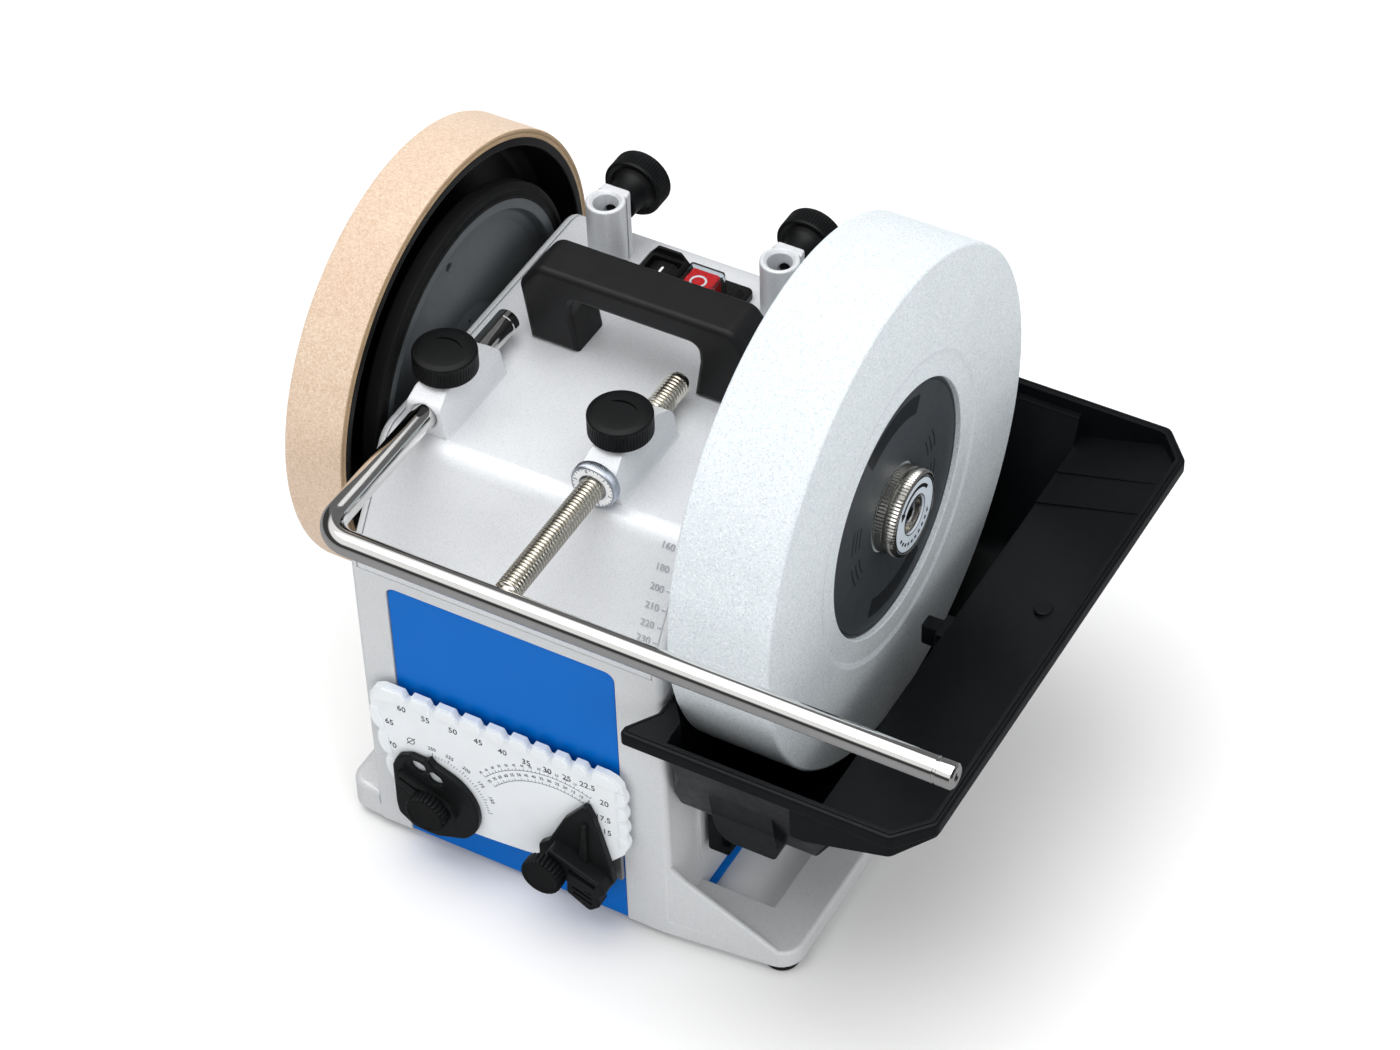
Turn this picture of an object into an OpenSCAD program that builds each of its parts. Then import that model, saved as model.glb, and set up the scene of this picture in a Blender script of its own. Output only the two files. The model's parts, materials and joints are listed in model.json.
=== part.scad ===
// Wet grinding sharpener: a slow water-cooled grindstone on one end of a
// through shaft, a leather honing wheel on the other, driven by a friction
// motor inside the housing.
// Parts are set out from the middle of the housing on the ground; place()
// then moves them so that the origin is on the ground under the middle of the
// whole object. +Z up, +X (right) towards the grindstone, -Y (front) towards
// the user.

/* [Wheels] */
// Diameter of the grindstone
stone_d = 250; // [236:1:250]
// Width of the grindstone
stone_w = 50; // [46:1:50]
// Diameter of the honing wheel over the leather
hone_d = 220; // [214:1:220]
// Thickness of the leather on the honing wheel
leather_t = 4.3; // [3:0.1:5]
// Height of the main shaft over the ground
shaft_z = 205; // [204.5:0.1:205.5]

/* [Housing] */
// Half width of the housing
half_w = 81; // [80.5:0.1:81]
// Half depth of the housing
half_d = 120; // [119.5:0.1:120]
// Height of the flat top over the ground
top_z = 233; // [232.8:0.1:233.2]
// Wall thickness of the housing
wall = 4; // [3.6:0.1:4.4]

/* [Support] */
// Diameter of the support bar and its legs
bar_d = 12; // [11.95:0.01:12]
// Height of the sliding legs over the ground
leg_z = 243; // [242.9:0.1:243.1]
// Distance of the cross bar in front of the shaft
bar_y = 164; // [150:1:170]
// Right end of the cross bar
bar_end = 246.8; // [200:0.1:250]

/* [Knobs] */
// Diameter of the locking knobs
knob_d = 30; // [26:1:31]
// Height of a locking knob's head
knob_h = 12; // [9:0.5:12]

/* [Hidden] */

$fn = 72;
silver = [0.76, 0.78, 0.79];
blue = [0.05, 0.36, 0.72];
black = [0.06, 0.06, 0.065];
steel = [0.72, 0.72, 0.72];

// radial gap between a shaft and its hole
gap = 0.05;
bar_r = bar_d / 2;
bar_bore_r = bar_r + gap;

// main shaft and the wheels along it
shaft_r = 6;
shaft_left = -129;
stone_right = 138;
stone_left = stone_right - stone_w;
hone_left = -118.6;
hone_right = -87.6;
tyre_r = 85;
drive_pin_x = -88.5;

// mains cord: leaves the rear wall, then bends down to the ground
cord_x = 68;
cord_z = 40;
cord_r = 3.6;
cord_straight = 30;
cord_bend_r = 20;

// housing bottom, and the blue frame's bottom plate
floor_z = 5;
plate_z = 5.2;
plate_top = 7.2;
feet_at = [for (x = [-88, 131], y = [-104, 104]) [x, y]];
frame_screws_at = [for (x = [-70, 71], y = [-84, 84]) [x, y]];

// half width of the cast top, which sits between the side walls
top_half_w = half_w - wall - 0.3;

// front sleeve blocks, which hold the sliding legs
left_leg_x = -60.3;
right_leg_x = 29.9;
block_front = -79.5;
block_back = -28.3;
block_top = 254.2;
front_knob_y = -59;

// upright sleeves at the rear, each with a lug behind it for its knob
left_sleeve_x = -46;
right_sleeve_x = 45.4;
sleeve_y = 60;
sleeve_z = 208;
sleeve_top = 270;
lug_d = 11.5;
rear_knob_z = 259;
stud_hole_r = 4.05;

// screws of the carrying handle
handle_screw_x = [-39, 47.4];
handle_screw_y = 10;

// motor, whose spindle runs against the tyre
spindle_r = 5.5;
motor_y = 20;
motor_z = shaft_z - sqrt(pow(tyre_r + spindle_r + 0.2, 2) - motor_y * motor_y);
motor_mid_x = -25;
pivot_y = -70;
pivot_z = 70;

// middle of the whole object, measured from the middle of the housing
mid_x = (bar_end + shaft_left) / 2;
mid_y = (half_d + cord_straight + cord_bend_r + cord_r - bar_y - bar_r) / 2;
module place() translate([-mid_x, -mid_y, 0]) children();

// ---- shared shapes -------------------------------------------------------

// half outline followed by its mirror image; signs is [-1, 1] or [1, -1]
function both_sides(half, signs) =
  concat(half, [for (i = [len(half) - 1:-1:0]) [half[i][0] * signs[0], half[i][1] * signs[1]]]);

corner_steps = 5;
function rounded_corner(before, corner, after, radius) =
  let (to_before = (before - corner) / norm(before - corner),
       to_after = (after - corner) / norm(after - corner),
       half_angle = acos(to_before * to_after) / 2,
       reach = radius / tan(half_angle),
       middle = to_before + to_after,
       centre = corner + middle / norm(middle) * radius / sin(half_angle),
       start = corner + to_before * reach - centre,
       end = corner + to_after * reach - centre,
       angle = atan2(start[1], start[0]),
       swing = atan2(end[1], end[0]) - angle,
       sweep = swing > 180 ? swing - 360 : (swing < -180 ? swing + 360 : swing))
  [for (i = [0:corner_steps])
    let (a = angle + sweep * i / corner_steps) centre + radius * [cos(a), sin(a)]];

// prism of a (y, z) outline between two x
module xprism(x0, x1, outline)
  translate([x0, 0, 0]) rotate([90, 0, 90]) linear_extrude(x1 - x0) polygon(outline);
// prism of an (x, z) outline between two y
module yprism(y0, y1, outline)
  translate([0, y1, 0]) rotate([90, 0, 0]) linear_extrude(y1 - y0) polygon(outline);
// prism of an (x, y) outline between two z
module zprism(z0, z1, outline)
  translate([0, 0, z0]) linear_extrude(z1 - z0) polygon(outline);
module box(x0, x1, y0, y1, z0, z1)
  translate([x0, y0, z0]) cube([x1 - x0, y1 - y0, z1 - z0]);
module xcyl(x0, x1, y, z, r)
  translate([x0, y, z]) rotate([0, 90, 0]) cylinder(h = x1 - x0, r = r);
module ycyl(y0, y1, x, z, r)
  translate([x, y1, z]) rotate([90, 0, 0]) cylinder(h = y1 - y0, r = r);
module zcyl(z0, z1, x, y, r)
  translate([x, y, z0]) cylinder(h = z1 - z0, r = r);
module xtube(x0, x1, y, z, r, hole_r) difference() {
  xcyl(x0, x1, y, z, r);
  xcyl(x0 - 1, x1 + 1, y, z, hole_r);
}
// solid of revolution about the main shaft, from points (radius, x)
module turn(profile)
  translate([0, 0, shaft_z]) rotate([0, 90, 0]) rotate_extrude($fn = 96) polygon(profile);

// ---- housing -------------------------------------------------------------

// front and rear slopes of the housing top
slope_y = 35;
slope_z = 51;
low_angle = atan(slope_y / slope_z);
high_angle = 90 - low_angle;

// side outline (y, z) of the housing, moved inwards by inset, standing on z0
function side_outline(inset, z0) =
  let (foot = [-half_d + inset, z0],
       low = [-half_d + inset, top_z - slope_z - inset * tan(low_angle / 2)],
       high = [-half_d + slope_y + inset * tan(high_angle / 2), top_z - inset])
  both_sides(concat([foot],
    rounded_corner(foot, low, high, 12 - inset * 0.6),
    rounded_corner(low, high, [0, top_z - inset], 14 - inset * 0.6)), [-1, 1]);

// outline (x, y) of the foot: front edge from left to right, then the rear
foot_outline = both_sides([
  [-98.5, -106], [-96, -112], [-91, -116.5], [-81, -119.6], [-74, -half_d],
  [76, -half_d], [83, -119.6], [129, -115], [135, -113], [139.5, -109.5], [142, -104]], [1, -1]);

// outline (x, z) of the gussets that brace the right wall on the foot
gusset_t = 7.5;
gusset_outline = [[half_w - 1, 14], [half_w - 1, 51.5], [83, 51.5], [86, 46], [134, 15], [134, 14]];

module housing_shell() color(silver) place() difference() {
  union() {
    difference() {
      xprism(-half_w, half_w, side_outline(0, floor_z));
      xprism(-half_w + wall, half_w - wall, side_outline(wall, floor_z - 1));
      // seat of the cast top between the side walls
      box(-half_w + wall, half_w - wall, -half_d - 1, half_d + 1, 176, top_z + 1);
    }
    // posts that take the frame screws
    for (x = [-77.5, 64], y = [-90, 78]) box(x, x + 13.5, y, y + 12, plate_top, 30);
    // foot: rails, left flange and gussets
    difference() {
      zprism(floor_z, 15, foot_outline);
      box(-half_w + wall, half_w - wall, -half_d + wall, half_d - wall, 4, 16);
      box(half_w, 119.5, -90, 90, 4, 16);
    }
    intersection() {
      zprism(floor_z, 22, foot_outline);
      box(-98.6, -half_w + 0.5, -half_d, half_d, floor_z, 22);
    }
    intersection() {
      zprism(floor_z, 60, foot_outline);
      union() for (y = [-half_d, half_d - gusset_t]) yprism(y, y + gusset_t, gusset_outline);
    }
  }
  // windows for the front and rear of the blue frame
  for (y = [-half_d - 1, half_d - wall - 1]) box(-62.4, 57.4, y, y + wall + 2, 4, 170);
  // seat of the frame's bottom plate under the right wall
  box(half_w - wall - 1, 84.6, -91.6, 91.6, 4, plate_top + 0.2);
  // shaft holes
  for (x = [-half_w - 1, half_w - wall - 1]) xcyl(x, x + wall + 2, 0, shaft_z, 12.5);
  // upright slot for the motor spindle
  for (z = [motor_z, motor_z - 9]) xcyl(-half_w - 1, -half_w + wall + 1, motor_y, z, 10);
  box(-half_w - 1, -half_w + wall + 1, motor_y - 10, motor_y + 10, motor_z - 9, motor_z);
  // feet, cord and frame screws
  for (p = feet_at) zcyl(4, 11, p[0], p[1], 3.05);
  ycyl(half_d - wall - 1, half_d + 1, cord_x, cord_z, 6.02);
  for (p = frame_screws_at) zcyl(4, 24, p[0], p[1], 2.0);
  // slots in the left wall that let the motor breathe
  for (i = [0:5]) box(-half_w - 1, -half_w + wall + 1, -60 + i * 14, -52 + i * 14, 34, 58);
}

bush_r = 9;
arm_w = 12.7;
module cast_top() color([0.79, 0.8, 0.81]) place() difference() {
  union() {
    difference() {
      xprism(-top_half_w, top_half_w, side_outline(0, 176.3));
      xprism(-half_w + wall - 1, half_w - wall + 1, side_outline(6, 150));
    }
    // arms that carry the shaft
    for (x = [-top_half_w, top_half_w - arm_w]) intersection() {
      union() {
        box(x, x + arm_w, -17, 17, shaft_z, top_z - 5);
        xcyl(x, x + arm_w, 0, shaft_z, 17);
      }
      box(-top_half_w, top_half_w, -40, 40, 150, top_z - 5);
    }
    // front sleeve blocks
    for (x = [left_leg_x, right_leg_x]) intersection() {
      yprism(block_front, block_back, [
        [x - 11.2, top_z - 3], [x - 11.2, top_z], [x - 10.4, 241], [x - 7.6, block_top],
        [x + 7.6, block_top], [x + 10.4, 241], [x + 11.2, top_z], [x + 11.2, top_z - 3]]);
      xprism(x - 12, x + 12, [
        [block_front, top_z - 3], [block_front, block_top - 4], [block_front + 8, block_top],
        [block_back - 14, block_top], [block_back, block_top - 4], [block_back, top_z - 3]]);
    }
    // upright sleeves
    for (x = [left_sleeve_x, right_sleeve_x]) {
      zcyl(sleeve_z, sleeve_top, x, sleeve_y, 9.4);
      box(x - 7, x + 7, sleeve_y, sleeve_y + lug_d, sleeve_z, sleeve_top - 1);
    }
    // screw bosses for the handle
    for (x = handle_screw_x) zcyl(top_z - 7, top_z - 1, x, handle_screw_y, 6);
  }
  for (x = [left_leg_x, right_leg_x]) {
    ycyl(block_front - 1, block_back + 1, x, leg_z, bar_bore_r);
    zcyl(leg_z, 256, x, front_knob_y, stud_hole_r);
  }
  for (x = [left_sleeve_x, right_sleeve_x]) {
    zcyl(sleeve_z - 1, sleeve_top + 1, x, sleeve_y, bar_bore_r);
    // chamfer at the mouth
    translate([x, sleeve_y, sleeve_top - 1.3])
      cylinder(h = 1.4, r1 = bar_bore_r, r2 = bar_bore_r + 1.4);
    ycyl(sleeve_y, sleeve_y + 12, x, rear_knob_z, stud_hole_r);
  }
  for (x = [-78, 60]) xcyl(x, x + 18, 0, shaft_z, bush_r + 0.02);
  // relief under the micro-adjust nut
  ycyl(block_front - 7.5, block_front, right_leg_x, leg_z, 12.1);
  // opening for the switch
  box(-22.5, 22.5, 38.5, 65.5, 220, top_z + 1);
  for (x = handle_screw_x) zcyl(220, top_z + 1, x, handle_screw_y, 3.3);
}

module blue_frame() color(blue) place() difference() {
  union() {
    // front and rear plates
    for (y = [-half_d + 0.5, half_d - 2.5]) box(-62, 57, y, y + 2, plate_z, 169.6);
    // bottom plate
    box(-62, 57, -half_d + 0.5, half_d - 0.5, plate_z, plate_top);
    box(-76, 84.3, -91, 91, plate_z, plate_top);
  }
  // row of slots in the bottom
  for (i = [-3:3]) box(i * 14 - 3, i * 14 + 3, -40, 20, 4, 8);
  for (p = frame_screws_at) zcyl(4, 8, p[0], p[1], 2.1);
}

module frame_screws() color(steel) place() for (p = frame_screws_at) {
  zcyl(2.9, plate_z, p[0], p[1], 3.8);
  zcyl(plate_z, 22, p[0], p[1], 1.98);
}

module rubber_feet() color(black) place() for (p = feet_at) {
  zcyl(0, floor_z, p[0], p[1], 8.5);
  zcyl(floor_z, 10, p[0], p[1], 3.0);
}

// left ends of each bush's body and of its collar
bushes_at = [[-79.5, -64], [62, 61]];
module shaft_bushes() color([0.85, 0.83, 0.75]) place() for (b = bushes_at) difference() {
  union() {
    xcyl(b[0], b[0] + 17.5, 0, shaft_z, bush_r);
    xcyl(b[1], b[1] + 3, 0, shaft_z, 11);
  }
  xcyl(-90, 90, 0, shaft_z, shaft_r + gap);
}

module tray_rails() color(black) place() for (y = [-91, 91]) {
  box(half_w, half_w + 1.2, y - 1.2, y + 1.2, 30, 150);
}

// ---- handle and switch ---------------------------------------------------

// outline (x, z) of the handle: outer edge from left to right, then inner edge
handle_outline = [
  [-51.5, top_z], [-55.6, 262], [-54.6, 267], [-48, 276.5], [-44, 277.5],
  [52.4, 277.5], [56.4, 276.5], [63, 267], [64, 262], [59.9, top_z],
  [34.4, top_z], [37.5, 254], [36.5, 259], [31.5, 263.5],
  [-23.1, 263.5], [-28.1, 259], [-29.1, 254], [-26, top_z]];

module carry_handle() color(black) place() difference() {
  yprism(-3, 22, handle_outline);
  for (x = handle_screw_x) zcyl(top_z - 1, 250, x, handle_screw_y, 3.0);
}

module handle_screws() color(steel) place() for (x = handle_screw_x) {
  zcyl(222, top_z - 7, x, handle_screw_y, 5.4);
  zcyl(top_z - 7, 249, x, handle_screw_y, 2.98);
}

switch_top = top_z + 4.5;
button_z = 231.5;

module switch_housing() color(black) place() difference() {
  union() {
    box(-27.6, 26.5, 34, 70, top_z, switch_top);
    box(-22, 22, 39, 65, 212, top_z);
    // guard around the start button
    yprism(38.5, 64.5, [
      [-26, top_z + 4], [-26, 243], [-20, 250], [-9, 250], [-2, 242], [-2, top_z + 4]]);
    // raised lip beyond the stop button
    yprism(38.5, 64.5, [[18.4, top_z + 4], [18.4, 240.5], [22.5, 240.5], [25, top_z + 4]]);
  }
  // wells of the start and stop buttons
  box(-21.6, -6.1, 42.2, 60.8, 228, 251);
  box(0.2, 15.8, 41, 59, 228, 251);
}

module start_button() color([0.1, 0.1, 0.11]) place() yprism(43, 60, [
  [-21, button_z], [-21, 243], [-17, 245.5], [-10.5, 245.5], [-6.8, 243], [-6.8, button_z]]);

module stop_button() color([0.8, 0.05, 0.05]) place() yprism(41.6, 58.4, [
  [0.8, button_z], [0.8, 248.5], [2, 249.6], [14, 249.6], [15.2, 248.5], [15.2, button_z]]);

module stop_button_cover() color([0.9, 0.92, 0.95, 0.35]) place() difference() {
  box(-1.2, 17.2, 39.6, 60.4, switch_top, 251.4);
  box(-0.2, 16.2, 40.6, 59.4, switch_top - 1, 250.4);
}

// ---- motor ---------------------------------------------------------------

pivot_pin_r = 3;
module motor_bracket() color(steel) place() difference() {
  union() {
    box(-68.5, 18.5, -77.6, -54, plate_top, 9.6);
    // ears that hold the pivot pin
    for (x = [-68.5, 15.1]) {
      box(x, x + 3.4, -77.6, -62.4, 9, pivot_z);
      xcyl(x, x + 3.4, pivot_y, pivot_z, 10);
    }
  }
  xcyl(-70, 20, pivot_y, pivot_z, pivot_pin_r + 0.02);
}

module motor_pivot_pin() color(steel) place() union() {
  xcyl(-72, 20, pivot_y, pivot_z, pivot_pin_r);
  xcyl(20, 22.5, pivot_y, pivot_z, 5);
}

bell_r = 46;
module motor_cradle() color([0.6, 0.62, 0.64]) place() difference() {
  union() {
    box(-64, 14, pivot_y, 72, 65, 68);
    xcyl(-64, 14, pivot_y, pivot_z, 6.5);
    // saddles under the end bells
    for (x = [-64, 6]) box(x, x + 7, motor_y - 25, motor_y + 25, 67, 86);
  }
  xcyl(-65, 15, pivot_y, pivot_z, pivot_pin_r + gap);
  xcyl(-70, 20, motor_y, motor_z, bell_r + 0.02);
}

// coil spring: turns, radius to the wire's middle, wire radius and height
spring_turns = 6.5;
spring_r = 8;
wire_r = 0.9;
spring_h = 57.2;
spring_steps = 104;
wire_sides = 8;
// helix of wire rings, each point numbered ring * wire_sides + side
module motor_spring() color(steel) place() translate([motor_mid_x, 60, 7.6]) {
  coil_points = [for (i = [0:spring_steps], j = [0:wire_sides - 1])
    let (turn_angle = 360 * spring_turns * i / spring_steps,
         z = wire_r + (spring_h - 2 * wire_r) * i / spring_steps,
         side_angle = 360 * j / wire_sides,
         reach = spring_r + wire_r * cos(side_angle))
    [reach * cos(turn_angle), reach * sin(turn_angle), z + wire_r * sin(side_angle)]];
  coil_faces = concat(
    [[for (j = [0:wire_sides - 1]) j]],
    [for (i = [0:spring_steps - 1], j = [0:wire_sides - 1])
      let (ring = i * wire_sides, next = ring + wire_sides, side = (j + 1) % wire_sides)
      [ring + j, next + j, next + side, ring + side]],
    [[for (j = [0:wire_sides - 1]) spring_steps * wire_sides + wire_sides - 1 - j]]);
  polyhedron(points = coil_points, faces = coil_faces, convexity = 10);
}

module motor_stator() color([0.45, 0.46, 0.48]) place() difference() {
  xcyl(-50, 0, motor_y, motor_z, 44);
  xcyl(-51, 1, motor_y, motor_z, 24.6);
  // winding slots
  for (a = [0:30:359]) translate([-51, motor_y, motor_z]) rotate([a, 0, 0])
    translate([0, -1.6, 22]) cube([52, 3.2, 9]);
}

module motor_windings() color([0.72, 0.35, 0.13]) place()
  for (x = [-60, 0]) xtube(x, x + 10, motor_y, motor_z, 40, 27);

// radius of the bolt circle
bolts_at_r = 48.5;
bearing_r = 11;
module motor_end_bells() color([0.62, 0.63, 0.64]) place() for (s = [0, 1])
  translate([motor_mid_x, motor_y, motor_z]) rotate([0, 0, s * 180])
    translate([-motor_mid_x, 0, 0]) difference() {
      union() {
        xcyl(0, 16, 0, 0, bell_r);
        for (a = [45:90:359]) rotate([a, 0, 0]) xcyl(0, 16, bolts_at_r, 0, 5.5);
      }
      xcyl(-1, 12, 0, 0, 42);
      xcyl(-1, 17, 0, 0, bearing_r);
      for (a = [45:90:359]) rotate([a, 0, 0]) xcyl(-1, 17, bolts_at_r, 0, 2.05);
      // ring of openings in the end face
      for (a = [0:45:359]) rotate([a, 0, 0]) xcyl(10, 17, 27, 0, 7);
    }

module motor_bearings() color(steel) place()
  for (x = [-66, 10]) xtube(x, x + 6, motor_y, motor_z, bearing_r, spindle_r + gap);

module motor_bolts() color(steel) place() for (a = [45:90:359])
  translate([0, motor_y, motor_z]) rotate([a, 0, 0]) {
    xcyl(-66, 16, bolts_at_r, 0, 2.0);
    xcyl(16, 18.8, bolts_at_r, 0, 3.5);
  }

module rotor_core() color([0.5, 0.5, 0.52]) place()
  xtube(-49, -1, motor_y, motor_z, 24, spindle_r);

module motor_spindle() color(steel) place() xcyl(-94.5, 33, motor_y, motor_z, spindle_r);

module cooling_fan() color([0.2, 0.2, 0.21]) place() difference() {
  union() {
    xcyl(21.5, 32, motor_y, motor_z, 9);
    xcyl(21.5, 23, motor_y, motor_z, 38);
    // blades
    for (a = [0:40:359]) translate([22.5, motor_y, motor_z]) rotate([a, 0, 0])
      translate([0, -0.8, 8]) cube([9, 1.6, 30]);
  }
  xcyl(20, 34, motor_y, motor_z, spindle_r);
}

// ---- capacitor, wires and cord -------------------------------------------

capacitor_y = -98;
capacitor_z = 26;
capacitor_r = 15;
module run_capacitor() color([0.85, 0.85, 0.83]) place() union() {
  xcyl(-44, 22, capacitor_y, capacitor_z, capacitor_r);
  xcyl(22, 26, capacitor_y, capacitor_z, 10);
  // terminals
  for (y = [-101, -95]) box(26, 34, y - 0.4, y + 0.4, 23, 29);
}

module capacitor_clip() color(steel) place() difference() {
  box(-20, -4, -115, -84.6, plate_top, capacitor_z);
  xcyl(-50, 30, capacitor_y, capacitor_z, capacitor_r + 0.02);
}

// taped wires, outlines in (y, z)
module wire_loom() color([0.15, 0.15, 0.16]) place() {
  // switch to cord
  xprism(4, 7, [
    [50.5, 212], [53.5, 212], [53.5, 206], [98, 190], [109, 178], [109, 38.5],
    [106, 38.5], [106, 176.8], [96.5, 187.2], [50.5, 203]]);
  box(7, 70, 106, 109, 38.5, 41.5);
  // switch to capacitor
  xprism(-8, -5, [
    [44.5, 212], [47.5, 212], [47.5, 196.5], [-99, 181], [-104, 176], [-104, 43],
    [-107, 43], [-107, 178], [-101, 184], [44.5, 199.6]]);
  box(-5, 36, -107, -104, 43, 46);
  box(33, 36, -107, -104, 24, 43);
  box(34, 36, -104, -100.6, 24, 27);
  // switch towards the motor
  xprism(12, 15, [
    [58, 212], [61, 212], [61, 205], [88, 198], [92, 192], [92, 9.4],
    [60, 9.4], [60, 12.4], [89, 12.4], [89, 190], [86, 195], [58, 202]]);
}

module cord_grip() color(black) place() difference() {
  union() {
    ycyl(half_d - 8, half_d, cord_x, cord_z, 6);
    ycyl(half_d, half_d + 3, cord_x, cord_z, 9);
    translate([cord_x, half_d + 22, cord_z]) rotate([90, 0, 0])
      cylinder(h = 19, r1 = 4.6, r2 = 6.6);
  }
  ycyl(half_d - 10, half_d + 24, cord_x, cord_z, cord_r + 0.02);
}

module mains_cord() color(black) place() union() {
  ycyl(half_d - 11, half_d + cord_straight, cord_x, cord_z, cord_r);
  translate([cord_x, half_d + cord_straight, cord_z - cord_bend_r]) rotate([90, 0, 90])
    rotate_extrude(angle = 90) translate([cord_bend_r, 0]) circle(r = cord_r);
  zcyl(4, cord_z - cord_bend_r, cord_x, half_d + cord_straight + cord_bend_r, cord_r);
}

// ---- shaft and wheels: turned profiles are in (radius, x) ----------------

module main_shaft() color(steel) place() difference() {
  xcyl(shaft_left, 142.6, 0, shaft_z, shaft_r);
  zcyl(shaft_z - 7, shaft_z + 7, drive_pin_x, 0, 2.5);
  // hex socket in the right end
  translate([138, 0, shaft_z]) rotate([0, 90, 0]) cylinder(h = 8, r = 3, $fn = 6);
}

// face of the recess in the stone's right side
recess_x = 133.4;
module grinding_stone() color([0.8, 0.82, 0.84]) place() turn([
  [6.06, stone_left], [stone_d / 2 - 1, stone_left], [stone_d / 2, stone_left + 1],
  [stone_d / 2, stone_right - 1], [stone_d / 2 - 1, stone_right], [76, stone_right],
  [73, 137.2], [63, 137.2], [62.4, 136.6], [62.4, recess_x], [6.06, recess_x]]);

module stone_label() color([0.2, 0.22, 0.23]) place() turn([
  [21.8, recess_x], [62.3, recess_x], [62.3, recess_x + 1.2], [21.8, recess_x + 1.2]]);

module inner_flange() color(steel) place() turn([
  [6.0, 82.6], [16, 82.6], [30, 85.4], [30, 88], [6.0, 88]]);

// outer radius and right side of the disc's rim
rim_r = 77.3;
rim_right = -84.4;
module drive_disc() color([0.5, 0.52, 0.53]) place() difference() {
  turn([
    [6.0, -95], [15, -95], [15, -91.5], [67, -92.6], [72, -92.6], [72, -93.4], [rim_r, -93.4],
    [rim_r, rim_right], [72, rim_right], [71.2, -88.6], [66, -89.6], [26, -87.6],
    [18, -85], [6.0, -85]]);
  xcyl(-100, -80, -8, shaft_z + 59, 2.2);
  zcyl(shaft_z - 20, shaft_z + 20, drive_pin_x, 0, 2.5);
}

module drive_tyre() color([0.05, 0.05, 0.05]) place() turn([
  [rim_r, -93.6], [83.4, -93.6], [tyre_r - 0.6, -93], [tyre_r, -92], [tyre_r, -86],
  [tyre_r - 0.6, -85], [83.6, rim_right], [rim_r, rim_right]]);

module drive_pin() color(steel) place() zcyl(shaft_z - 17, shaft_z + 17, drive_pin_x, 0, 2.48);

hone_r = hone_d / 2;
hone_rim_r = hone_r - leather_t;
module honing_wheel() color(black) place() turn([
  [6.02, hone_left], [26, hone_left], [30, hone_left + 2], [96, hone_left + 2],
  [99, hone_left], [hone_rim_r, hone_left], [hone_rim_r, hone_right],
  [hone_rim_r - 4.1, hone_right], [hone_rim_r - 4.6, hone_left + 10],
  [hone_rim_r - 9, hone_left + 6.5], [24, hone_left + 6.5], [20, hone_left + 9],
  [18, -95], [6.02, -95]]);

module leather_strip() color([0.82, 0.66, 0.5]) place() turn([
  [hone_rim_r, hone_left + 0.2], [hone_r - 0.6, hone_left + 0.2], [hone_r, hone_left + 0.9],
  [hone_r, hone_right - 0.9], [hone_r - 0.6, hone_right - 0.2], [hone_rim_r, hone_right - 0.2]]);

module honing_wheel_nut() color(steel) place() difference() {
  translate([hone_left - 8.4, 0, shaft_z]) rotate([0, 90, 0])
    cylinder(h = 6.4, r = 10.9, $fn = 6);
  xcyl(hone_left - 10, hone_left + 1, 0, shaft_z, shaft_r);
}

module honing_wheel_washer() color(steel) place()
  xtube(hone_left - 2, hone_left, 0, shaft_z, 15, shaft_r + 0.02);

module quick_lock_nut() color([0.72, 0.71, 0.68]) place() turn([
  [6.05, 134.0], [20.2, 134.0], [20.9, 134.6], [20.9, 138.6], [20.2, 139.1], [19.6, 139.1],
  [19.6, 139.7], [20.4, 139.7], [20.9, 140.2], [20.9, 144.6], [20.1, 145.4], [18.9, 145.4],
  [18.9, 144.2], [8.2, 144.2], [8.2, 141], [6.05, 141]]);

module lock_nut_face() color([0.85, 0.87, 0.9]) place() turn([
  [9.4, 144.2], [18.8, 144.2], [18.8, 145.0], [9.4, 145.0]]);

// ---- tool support --------------------------------------------------------

bend_r = 14;
ground_x = 40;
leg_seat_r = 4.5;
threaded_r = bar_r - 0.04;

// cutter for a ring groove in the cross bar, leaving a core
module bar_groove(x, core_r) translate([x, -bar_y, leg_z]) rotate([0, 90, 0]) difference() {
  cylinder(h = 1.2, r = bar_r + 1);
  translate([0, 0, -1]) cylinder(h = 4, r = core_r);
}
// tapered rear end of a leg
module leg_tip(x, y, r)
  translate([x, y, leg_z]) rotate([90, 0, 0]) cylinder(h = 1.5, r1 = bar_r - 1.4, r2 = r);

module support_bar() color([0.8, 0.8, 0.8]) place() difference() {
  union() {
    xcyl(left_leg_x + bend_r, ground_x, -bar_y, leg_z, bar_r);
    // ground working length
    xcyl(ground_x, bar_end, -bar_y, leg_z, bar_r - 0.01);
    translate([left_leg_x + bend_r, -bar_y + bend_r, leg_z]) rotate([0, 0, 180])
      rotate_extrude(angle = 90) translate([bend_r, 0]) circle(r = bar_r);
    ycyl(-bar_y + bend_r, -6.5, left_leg_x, leg_z, bar_r);
    leg_tip(left_leg_x, -5, bar_r);
  }
  // ring groove and centre hole at the right end
  bar_groove(bar_end - 9, bar_r - 0.5);
  xcyl(bar_end - 4, bar_end + 1, -bar_y, leg_z, 1.8);
  // undercut where the ground length begins
  bar_groove(ground_x - 1.2, bar_r - 0.45);
  // seat of the threaded leg
  ycyl(-bar_y + 1, -bar_y + 8, right_leg_x, leg_z, leg_seat_r);
}

module threaded_leg() color([0.78, 0.78, 0.77]) place() union() {
  ycyl(-bar_y + 1, -bar_y + 7, right_leg_x, leg_z, leg_seat_r);
  ycyl(-bar_y + 6, -7.5, right_leg_x, leg_z, threaded_r);
  leg_tip(right_leg_x, -6, threaded_r);
}

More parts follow.
